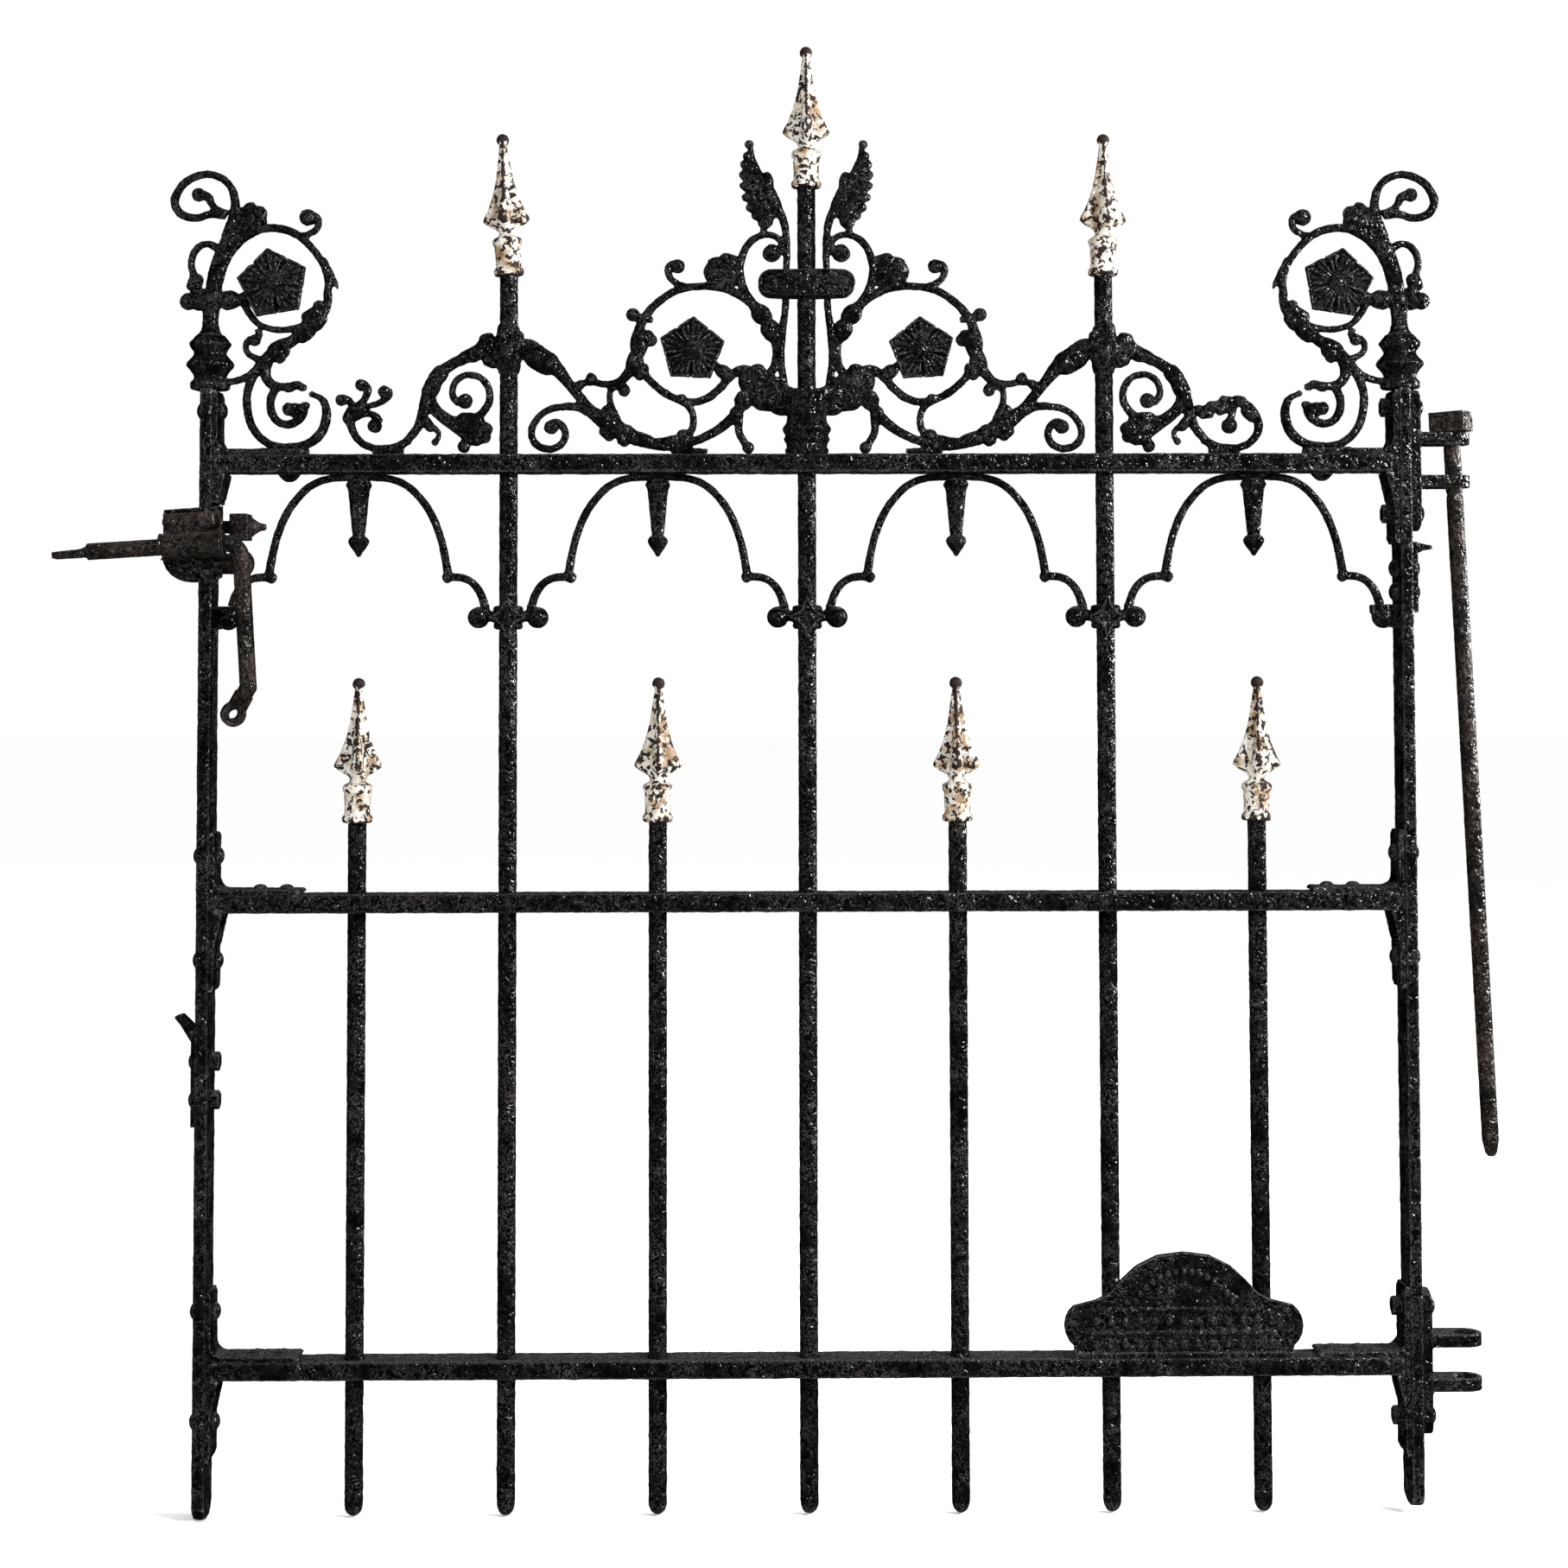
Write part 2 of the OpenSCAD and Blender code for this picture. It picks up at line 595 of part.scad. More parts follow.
module arch(n) {
    crown = rail_height - rail_wall;
    color(black) on_gate() translate([arch_centres[n - 1], 0, rail_under]) difference() {
        union() {
            upright(-arch_depth / 2, arch_depth) intersection() {
                union() {
                    arch_half();
                    mirror([1, 0]) arch_half();
                }
                translate([-120, collar_pad - rail_under]) square([240, 120]);
            }
            translate([-12, -8, -3]) cube([24, 16, 3 + crown]);
        }
        translate([0, 0, -8]) cylinder(d = pendant_stud + 0.2, h = 30);
    }
}

module arch_pendants() {
    for (u = arch_centres) color(black) on_gate() translate([u, 0, rail_under]) union() {
        turned([[1, -64], [4, -60], [7.5, -54.5], [8, -52], [7, -49.5], [5, -48], [5.3, -45], [8.6, -12], [9.3, -8],
            [9.5, -6.05]]);
        translate([0, 0, -7]) cylinder(d = pendant_stud, h = rail_height + 7);
    }
}

// A ring on the picket with an arm and a ball at each side and a diamond boss in front
module collar(n) {
    color(black) on_gate() translate([(n - 4) * picket_pitch, 0, collar_z]) difference() {
        union() {
            translate([0, 0, -9]) turned([[10, 0], [11.5, 2], [11.5, 16], [10, 18]]);
            upright(-12.5, 4) polygon([[0, -15], [13, 0], [0, 15], [-13, 0]]);
            upright(-5, 10) for (s = [-1, 1]) {
                polygon([[s * 8, -5], [s * 22, -5], [s * 22, collar_pad - collar_z], [s * 13, collar_pad - collar_z],
                    [s * 8, 6]]);
            }
            for (s = [-1, 1]) translate([s * ball_reach, 0, 0]) sphere(r = 8);
        }
        translate([0, 0, -20]) cylinder(d = picket_hole, h = 40);
    }
}

module stile_bosses() {
    for (s = [-1, 1]) color(black) on_gate() translate([s * stile_inner, 0, boss_z]) difference() {
        union() {
            translate([-s * 10.5, 0, 0]) sphere(r = 9);
            upright(-6, 12) polygon([[0, -9], [-s * 10, -7], [-s * 20, collar_pad - boss_z - 6],
                [-s * 20, collar_pad - boss_z], [0, collar_pad - boss_z]]);
        }
        translate([s * 20, 0, 0]) cube([40, 60, 60], center = true);
    }
}

// ---------- cast panel on the bottom rail ----------

panel_u = 282;
panel_front = -rail_depth / 2;
panel_back = -picket_d / 2 - 0.1;

// Half outline of the panel: a low shoulder with a round end and a high middle arch
module panel_half(grow) {
    polygon(concat(
        [[0, 0], [82, 0]],
        [for (a = [-60:20:60]) [76 + 14 * cos(a) + grow, 24 + 17 * sin(a)]],
        [[66, 43 + grow], [56, 48 + grow], [48, 57 + grow], [36, 68 + grow], [20, 76 + grow], [0, 78.5 + grow]]));
}

module cast_panel() {
    color(black) on_gate() translate([panel_u, 0, bottom_rail_top]) union() {
        upright(panel_front + 2, panel_back - panel_front - 2) {
            panel_half(0);
            mirror([1, 0]) panel_half(0);
        }
        upright(panel_front, 3) difference() {
            union() {
                panel_half(0);
                mirror([1, 0]) panel_half(0);
            }
            translate([0, 4]) {
                panel_half(-5);
                mirror([1, 0]) panel_half(-5);
            }
        }
    }
}

// ---------- latch ----------

// The latch's own frame: x along the bolt towards the gate, z up, origin in the middle of the sleeve
module in_latch() {
    on_gate() translate([-latch_u, -latch_front, latch_z]) rotate([0, -latch_slope, 0]) children();
}

function latch_x(u) = u + latch_u;

module latch_strap() {
    outer = sleeve_bore / 2 + sleeve_wall;
    half = sleeve_length / 2;
    color(rust) in_latch() difference() {
        union() {
            x_cylinder(2 * outer, -half, half);
            translate([-half, outer - strap_plate, 0]) cube([sleeve_length, strap_plate, strap_height]);
        }
        x_cylinder(sleeve_bore, -half - 1, half + 1);
        for (u = latch_studs) translate([latch_x(u), outer, stud_z - latch_z]) rotate([90, 0, 0])
            cylinder(d = 6.3, h = strap_plate + 8, center = true);
    }
}

// An angle-shaped casting: a cheek in front of the stile and a flange on its outer face
module latch_lug() {
    front = -cheek_front + 0.05;
    cheek = -front - stile_depth / 2 - 0.05;
    color(black) difference() {
        on_gate() {
            upright(front, cheek) polygon(concat(
                [[-443, 648], [-487, 645], [-488, 612]],
                [for (a = [180:15:270]) [-466 + 22 * cos(a), 610 + 20 * sin(a)]],
                [[-450, 590], [-443, 594]]));
            translate([-stile_outer - 6, -stile_depth / 2 - 1, 594]) cube([6, 30, 50]);
        }
        for (u = latch_studs) in_latch() translate([latch_x(u), 0, stud_z - latch_z]) rotate([90, 0, 0])
            cylinder(d = 6.3, h = 60, center = true);
        for (z = through_bolts) on_gate() translate([0, 0, z])
            x_cylinder(rivet_hole, -stile_outer - 20, -stile_outer + 5);
    }
}

module latch_bolt() {
    r = bolt_d / 2;
    color(rust) in_latch() union() {
        x_cylinder(bolt_d, -78, handle_x - bend_r);
        latch_tip();
        translate([handle_x - bend_r, 0, -bend_r]) rotate([90, 0, 0]) rotate_extrude(angle = 90)
            translate([bend_r, 0]) circle(r = r);
        translate([handle_x, 0, -handle_drop]) cylinder(r = r, h = handle_drop - bend_r);
        translate([handle_x, 0, -handle_drop]) handle_end(r);
    }
}

// The forged flat end of the bolt, which thickens into the round part
module latch_tip() {
    intersection() {
        upright(-10, 20)
            polygon([[-103, -4], [-82.5, -4], [-76, -4.4], [-76, 4.4], [-82.5, 2], [-103, 1]]);
        translate([0, 0, -10]) linear_extrude(20)
            polygon([[-103, -7.5], [-83, -7.5], [-75, -4], [-75, 4], [-83, 7.5], [-103, 7.5]]);
    }
}

// The handle's foot bends outwards into a flattened eye
module handle_end(r) {
    eye = 20;
    rotate([0, 32, 0]) {
        sphere(r = r + 0.2);
        translate([0, 0, -9]) cylinder(r = r, h = 9);
        rotate([0, 0, 35]) difference() {
            upright(-3, 6) union() {
                translate([-7, -eye]) square([14, eye - 6]);
                translate([0, -eye - 3]) circle(r = 9.5);
            }
            translate([0, 0, -eye - 3]) rotate([90, 0, 0]) cylinder(d = 8, h = 20, center = true);
        }
    }
}

module latch_ring() {
    start = sleeve_length / 2 + ring_gap;
    color(rust) in_latch() difference() {
        x_cylinder(sleeve_bore + 2 * sleeve_wall + 1, start, start + ring_width);
        x_cylinder(bolt_d + 0.7, start - 1, start + ring_width + 1);
    }
}

// ---------- hinges ----------

// A back plate with two bored ears, drawn with the hinge axis at the origin
module hinge_bracket(bore) {
    plate_x = stile_outer - axis_u;
    difference() {
        union() {
            translate([plate_x, 0, 0]) along_x(hinge_plate) polygon(concat(
                [for (s = [0, 180], a = [0:30:180]) let (b = a + s, h = s == 0 ? 1 : -1)
                    [hinge_plate_depth / 2 * cos(b), h * (hinge_plate_height / 2 - 8) + 8 * sin(b)]]));
            for (s = [-1, 1]) translate([0, 0, s * ear_spacing / 2 - ear_thickness / 2]) {
                cylinder(d = ear_width, h = ear_thickness);
                translate([plate_x + 1, -ear_width / 2, 0]) cube([-plate_x - 1, ear_width, ear_thickness]);
            }
        }
        for (s = [-1, 1]) {
            translate([0, 0, s * ear_spacing / 2]) cylinder(d = bore, h = ear_thickness + 2, center = true);
            translate([0, 0, s * hinge_bolt_gap / 2]) x_cylinder(rivet_hole, plate_x - 1, plate_x + hinge_plate + 1);
        }
    }
}

module hinge_bracket_upper() {
    color(black) translate([0, 0, upper_hinge_z]) hinge_bracket(worn_bore);
}

module hinge_bracket_lower() {
    color(black) hinge_bracket(ear_bore);
}

// A round pin with a blunt point and a square head, leaning in the upper hinge
module hinge_pin() {
    r = pin_d / 2;
    worn = pin_length - head_lift - ear_spacing / 2 - ear_thickness / 2 - 2.75;
    color(rust) translate([0, 0, upper_hinge_z]) rotate([0, -pin_lean, 0]) union() {
        translate([0, 0, head_lift - pin_length]) turned([[2.5, 0], [4.5, 3], [r, 12], [r, worn - 4],
            [r - pin_wear, worn - 3], [r - pin_wear, worn - 1], [r, worn], [r, pin_length + 1]]);
        translate([0, 0, head_lift]) rotate([0, 0, head_turn]) translate([-pin_head / 2, -pin_head / 2, 0])
            cube([pin_head, pin_head, head_height]);
    }
}

// ---------- plates on the stiles ----------

// A thin plate on the latch stile's outer face, with the stub of a broken hook
module hook_plate() {
    color(black) on_gate() translate([-stile_outer, 0, 0]) difference() {
        union() {
            translate([-3.5, -12.5, 180]) cube([3.5, 25, 72]);
            upright(-6, 12) polygon([[0, 240], [-3, 240], [-13, 256], [-18, 262], [-12, 264], [0, 252]]);
        }
        for (z = hook_bolts) translate([0, 0, z]) x_cylinder(rivet_hole, -8, 2);
    }
}

// A plate on the hinge stile's outer face, with a pointed stop
module stop_plate() {
    color(black) on_gate() translate([stile_outer, 0, 0]) difference() {
        union() {
            translate([0, -12.5, 566]) cube([4.5, 25, 54]);
            upright(-6, 12) polygon([[0, 610], [5, 611], [11, 614], [17, 614.5], [17, 617.5], [11, 618.5], [5, 620],
                [0, 620]]);
        }
        for (z = stop_bolts) translate([0, 0, z]) x_cylinder(rivet_hole, -2, 8);
    }
}

// ---------- fasteners ----------

// A rivet along x with a dome at each end
module rivet(x0, x1, d, h) {
    x_cylinder(rivet_d, x0, x1);
    translate([x1, 0, 0]) dome_head(d, h);
    translate([x0, 0, 0]) mirror([1, 0, 0]) dome_head(d, h);
}

module bracket_rivets() {
    color(black) on_gate() {
        for (z = left_rivets) translate([0, 0, z]) rivet(-stile_outer, -stile_inner + leg, 14, 5);
        for (z = middle_rivets) translate([0, 0, z]) rivet(stile_inner - leg, stile_outer, 14, 5);
        for (top = [bottom_rail_top, middle_rail_top], u = rivet_places) translate([u, 0, top + leg]) {
            rotate([0, -90, 0]) dome_head(11, 3.5);
            translate([0, 0, -leg - rail_wall]) cylinder(d = pendant_stud, h = leg + rail_wall);
        }
    }
}

// A hexagon along x that starts at x = 0 and points towards +x
module hex(across, h) {
    rotate([0, 90, 0]) cylinder(d = across / cos(30), h = h, $fn = 6);
}

module hinge_bolts() {
    color(black) on_gate() for (z = hinge_pin_rows) translate([0, 0, z]) {
        x_cylinder(rivet_d, stile_inner - leg, stile_outer + hinge_plate);
        translate([stile_outer + hinge_plate, 0, 0]) dome_head(15, 5);
        translate([stile_inner - leg, 0, 0]) mirror([1, 0, 0]) hex(13, 7);
    }
}

module latch_fasteners() {
    outer = sleeve_bore / 2 + sleeve_wall;
    color(rust) {
        for (i = [0, 1]) in_latch() translate([latch_x(latch_studs[i]), outer - strap_plate, stud_z - latch_z])
            rotate([0, 0, -90]) {
                if (i == 0) dome_head(11, 3);
                if (i == 1) hex(12.5, 5.5);
                x_cylinder(6, -strap_plate - 5, 0.5);
            }
        on_gate() {
            translate([-stile_inner, 0, through_bolts[0]]) {
                x_cylinder(rivet_d, -stile_thickness - 6, 1);
                x_cylinder(19, 0, 3);
                translate([2.5, 0, 0]) x_cylinder(10, 0, 11);
                translate([12.5, -10, -10]) cube([14, 20, 20]);
                translate([26, 0, 0]) rotate([0, 90, 0]) turned([[9, 0], [4, 7], [3, 9], [2.5, 13]]);
            }
            translate([-stile_inner, 0, through_bolts[1]]) {
                x_cylinder(rivet_d, -stile_thickness - 6, 1);
                x_cylinder(16, 0, 20.7);
                translate([20.2, 0, 0]) dome_head(22, 10);
            }
            for (z = through_bolts) translate([-stile_outer - 6, 0, z]) mirror([1, 0, 0]) dome_head(14, 4);
        }
    }
}

module plate_bolts() {
    color(black) on_gate() {
        for (z = hook_bolts) translate([0, 0, z]) {
            x_cylinder(rivet_d, -stile_outer - 3.5, -stile_inner);
            translate([-stile_outer - 3.5, 0, 0]) mirror([1, 0, 0]) dome_head(13, 4);
            translate([-stile_inner, 0, 0]) hex(13, 7);
        }
        for (z = stop_bolts) translate([0, 0, z]) {
            x_cylinder(rivet_d, stile_inner, stile_outer + 4.5);
            translate([stile_outer + 4.5, 0, 0]) dome_head(13, 4);
            translate([stile_inner, 0, 0]) mirror([1, 0, 0]) dome_head(15, 6);
        }
    }
}

module scroll_bolts() {
    foot_top = top_rail_top + 9;
    web_under = top_rail_top - rail_wall;
    color(black) on_gate() {
        for (s = [-1, 1]) {
            // Through each corner scroll's foot, with a long conical nut under the rail
            translate([s * rail_rivets[1], 0, 0]) {
                translate([0, 0, web_under - 2]) cylinder(d = pendant_stud, h = foot_top - web_under + 2.5);
                translate([0, 0, web_under - 16.5]) turned([[2.5, 0], [5, 1.5], [8.3, 5], [8.3, 7], [7, 8], [7, 16.5]]);
            }
            translate([s * rail_rivets[0], 0, web_under]) {
                cylinder(d = pendant_stud, h = rail_wall + leg);
                translate([0, 0, rail_wall + leg]) rotate([0, -90, 0]) dome_head(9, 2);
            }
            // Across the picket clamp
            translate([s * clamp_bolt_u, 0, clamp_z]) {
                rotate([90, 0, 0]) cylinder(d = pendant_stud, h = 2 * (clamp_front_y + clamp_plate), center = true);
                for (f = [-1, 1]) translate([0, f * (clamp_front_y + clamp_plate), 0]) rotate([0, 0, f * 90])
                    dome_head(10, 3);
            }
        }
    }
}

latch_stile();
hinge_stile();
top_rail();
middle_rail();
bottom_rail();
picket(1);  // picket_1
picket(2);  // picket_2
picket(3);  // picket_3
picket(4);  // picket_4
picket(5);  // picket_5
picket(6);  // picket_6
picket(7);  // picket_7
finial(1);  // finial_1
finial(2);  // finial_2
finial(3);  // finial_3
finial(4);  // finial_4
finial(5);  // finial_5
finial(6);  // finial_6
finial(7);  // finial_7
bracket_top_left();
bracket_middle_left();
bracket_bottom_left();
bracket_top_right();
bracket_middle_right();
bracket_bottom_right();
corner_scroll(false);  // corner_scroll_left
corner_scroll(true);  // corner_scroll_right
side_scroll(false);  // side_scroll_left
side_scroll(true);  // side_scroll_right
centre_scroll(false);  // centre_scroll_left
centre_scroll(true);  // centre_scroll_right
centre_vase();
clamp_front();
clamp_back();
rosettes();
arch(1);  // arch_1
arch(2);  // arch_2
arch(3);  // arch_3
arch(4);  // arch_4
arch_pendants();
collar(2);  // collar_left
collar(4);  // collar_centre
collar(6);  // collar_right
stile_bosses();
cast_panel();
latch_strap();
latch_lug();
latch_bolt();
latch_ring();
hinge_bracket_upper();
hinge_bracket_lower();
hinge_pin();
hook_plate();
stop_plate();
bracket_rivets();
hinge_bolts();
latch_fasteners();
plate_bolts();
scroll_bolts();
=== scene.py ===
import json
import math

import bpy
import numpy as np
from mathutils import Matrix, Vector


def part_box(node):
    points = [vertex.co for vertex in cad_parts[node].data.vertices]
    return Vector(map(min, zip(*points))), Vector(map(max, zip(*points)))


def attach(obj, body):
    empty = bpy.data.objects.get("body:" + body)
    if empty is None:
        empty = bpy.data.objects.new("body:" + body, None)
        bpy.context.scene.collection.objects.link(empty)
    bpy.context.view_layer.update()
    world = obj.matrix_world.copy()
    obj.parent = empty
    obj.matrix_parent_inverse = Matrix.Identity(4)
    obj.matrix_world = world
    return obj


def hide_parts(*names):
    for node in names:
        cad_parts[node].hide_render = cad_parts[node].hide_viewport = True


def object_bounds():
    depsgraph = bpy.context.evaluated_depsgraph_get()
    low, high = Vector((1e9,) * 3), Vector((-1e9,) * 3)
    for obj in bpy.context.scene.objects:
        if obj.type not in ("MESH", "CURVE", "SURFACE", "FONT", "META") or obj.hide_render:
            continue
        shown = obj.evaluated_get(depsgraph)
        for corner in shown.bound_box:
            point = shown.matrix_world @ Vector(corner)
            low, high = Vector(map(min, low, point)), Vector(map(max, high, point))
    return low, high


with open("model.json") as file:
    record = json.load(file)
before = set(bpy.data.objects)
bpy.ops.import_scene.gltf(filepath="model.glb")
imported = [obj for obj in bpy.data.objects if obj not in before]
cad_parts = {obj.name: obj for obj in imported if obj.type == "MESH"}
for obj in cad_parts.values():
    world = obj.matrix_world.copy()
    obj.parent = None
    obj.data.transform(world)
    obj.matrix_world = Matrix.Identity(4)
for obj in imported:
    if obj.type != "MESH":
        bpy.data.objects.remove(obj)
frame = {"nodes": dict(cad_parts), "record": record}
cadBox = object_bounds()
bodyOf = {n: body for body, nodes in frame["record"]["behaviour"]["bodies"].items() for n in nodes}
slotOf = {part["node"]: part["material_slot"] for part in frame["record"]["subparts"]}
mm = 0.001
mergeWithin = 0.00001


def middle(node):
    low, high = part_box(node)
    return (low + high) / 2


centreX = middle("picket_4").x
stileX = {-1: middle("latch_stile").x, 1: middle("hinge_stile").x}
sidePicketX = {-1: middle("picket_2").x, 1: middle("picket_6").x}
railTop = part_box("top_rail")[1].z
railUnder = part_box("top_rail")[0].z
print("frame loaded")

# Camera, lights and floor
view = {
    "place": (-0.539, -2.029, 0.511),
    "pitch": 2.62,  # degrees up
    "yaw": -0.68,
    "roll": 0.12,
    "lens": 60.9,
    "shiftY": -0.14,
}
studio = {
    "keyPlace": (1.3, -1.5, 1.5),
    "keyPower": 70,
    "keySize": 0.25,
    "sidePlace": (1.7, 0.3, 0.75),
    "sidePower": 60,
    "sideSize": 0.4,
    "fillPlace": (-2.6, -2.2, 1.4),
    "fillPower": 12,
    "fillSize": 0.9,
    "world": 1.0,
    "floor": (0.98, 0.98, 0.98, 1),
}

bpy.ops.object.camera_add(
    location=view["place"],
    rotation=(math.radians(90 + view["pitch"]), math.radians(view["roll"]), math.radians(view["yaw"])),
)
camera = bpy.context.object
camera.data.lens = view["lens"]
camera.data.shift_y = view["shiftY"]
bpy.context.scene.camera = camera


def addSoftLight(name, place, power, size):
    bpy.ops.object.light_add(type="AREA", location=place)
    light = bpy.context.object
    light.name = name
    light.data.energy = power
    light.data.size = size
    aim = Vector((centreX, 0, 0.5)) - Vector(place)
    light.rotation_euler = aim.to_track_quat("-Z", "Y").to_euler()


addSoftLight("keyLight", studio["keyPlace"], studio["keyPower"], studio["keySize"])
addSoftLight("sideLight", studio["sidePlace"], studio["sidePower"], studio["sideSize"])
addSoftLight("fillLight", studio["fillPlace"], studio["fillPower"], studio["fillSize"])

world = bpy.data.worlds.new("studioWorld")
world.use_nodes = True
world.node_tree.nodes["Background"].inputs["Color"].default_value = (1, 1, 1, 1)
world.node_tree.nodes["Background"].inputs["Strength"].default_value = studio["world"]
bpy.context.scene.world = world
world.cycles_visibility.glossy = False  # glossy paint mirrors the lamps, not the bright room or floor
bpy.context.scene.view_settings.view_transform = "Standard"

bpy.ops.mesh.primitive_plane_add(size=60, location=(centreX, 0, cadBox[0].z - 0.0005))
floor = bpy.context.object
floor.name = "floor"
bpy.ops.object.transform_apply(location=True, rotation=True, scale=True)
floor.visible_glossy = False
floorPaint = bpy.data.materials.new("floorPaint")
floorPaint.use_nodes = True
floorPaint.node_tree.nodes["Principled BSDF"].inputs["Base Color"].default_value = studio["floor"]
floorPaint.node_tree.nodes["Principled BSDF"].inputs["Roughness"].default_value = 0.9
floorPaint.node_tree.nodes["Principled BSDF"].inputs["Specular IOR Level"].default_value = 0
floor.data.materials.append(floorPaint)
print("camera, lights and floor made")

# Finishes
blackPaint = {
    "base": (0.0012, 0.0012, 0.0013, 1),
    "dusty": (0.004, 0.0038, 0.0036, 1),
    "dust": (0.06, 0.06, 0.058, 1),  # on faces that look up
    "rust": (0.030, 0.013, 0.008, 1),
    # Grey of paint rubbed off the edges, and also the colour of the painted highlights: bright crack lines and
    # ridge specks that stand in for glints
    "worn": (0.13, 0.127, 0.123, 1),
    "rustFrom": 0.68,
    "specular": 0.2,
    "gloss": (0.09, 0.2),
}
ironGrain = {
    "lumpScale": 190,
    # The crack noise draws thin lines that are painted highlights: bright streaks that stand in for glints on the
    # wrinkled paint
    "glintCrackScale": 170,
    "gritScale": 800,
    "patchScale": 38,
    "dullScale": 90,
    "lumpDepth": 0.0026,
    "gritDepth": 0.0001,
    # Width of the painted highlight lines
    "glintCrackWidth": (0.004, 0.016),
    "ridge": (0.52, 0.59),
    "facingUp": (0.6, 0.95),
}
rustyIron = {
    "base": (0.004, 0.0035, 0.003, 1),
    "dusty": (0.012, 0.009, 0.007, 1),
    "dust": (0.05, 0.045, 0.04, 1),
    "rust": (0.02, 0.0075, 0.0042, 1),
    # Grey of rubbed iron on the edges, and also the colour of the painted highlights: bright crack lines and ridge
    # specks that stand in for glints
    "worn": (0.16, 0.14, 0.125, 1),
    "rustFrom": 0.52,
    "specular": 0.28,
    "gloss": (0.16, 0.34),
}
chippedPaint = {
    "cream": (0.56, 0.53, 0.47, 1),
    "stain": (0.27, 0.17, 0.09, 1),
    "iron": (0.006, 0.004, 0.0035, 1),
    "rust": (0.035, 0.012, 0.006, 1),
    "chipFrom": 0.525,
    "flakeScale": 230,
    "gritScale": 900,
    "stainScale": 75,
    "specular": 0.4,
}


def newFinish(name):
    finish = bpy.data.materials.new(name)
    finish.use_nodes = True
    return finish, finish.node_tree, finish.node_tree.nodes["Principled BSDF"]


def addNoise(tree, scale, detail, roughness=0.6, distortion=0.0):
    place = tree.nodes.get("Texture Coordinate") or tree.nodes.new("ShaderNodeTexCoord")
    noise = tree.nodes.new("ShaderNodeTexNoise")
    noise.inputs["Scale"].default_value = scale
    noise.inputs["Detail"].default_value = detail
    noise.inputs["Roughness"].default_value = roughness
    noise.inputs["Distortion"].default_value = distortion
    tree.links.new(place.outputs["Object"], noise.inputs["Vector"])
    return noise.outputs["Fac"]


def addRange(tree, value, low, high, toLow=0.0, toHigh=1.0):
    spread = tree.nodes.new("ShaderNodeMapRange")
    spread.interpolation_type = "SMOOTHSTEP"
    for key, number in (("From Min", low), ("From Max", high), ("To Min", toLow), ("To Max", toHigh)):
        spread.inputs[key].default_value = number
    tree.links.new(value, spread.inputs["Value"])
    return spread.outputs["Result"]


def addMath(tree, operation, first, second):
    step = tree.nodes.new("ShaderNodeMath")
    step.operation = operation
    for socket, value in zip(step.inputs, (first, second)):
        if isinstance(value, (int, float)):
            socket.default_value = value
        else:
            tree.links.new(value, socket)
    return step.outputs["Value"]


def addMix(tree, factor, first, second):
    mix = tree.nodes.new("ShaderNodeMix")
    mix.data_type = "RGBA"
    tree.links.new(factor, mix.inputs["Factor"])
    for socket, value in ((mix.inputs[6], first), (mix.inputs[7], second)):
        if isinstance(value, tuple):
            socket.default_value = value
        else:
            tree.links.new(value, socket)
    return mix.outputs[2]


def addBump(tree, height, distance, strength, normal=None):
    bump = tree.nodes.new("ShaderNodeBump")
    bump.inputs["Strength"].default_value = strength
    bump.inputs["Distance"].default_value = distance
    tree.links.new(height, bump.inputs["Height"])
    if normal:
        tree.links.new(normal, bump.inputs["Normal"])
    return bump.outputs["Normal"]


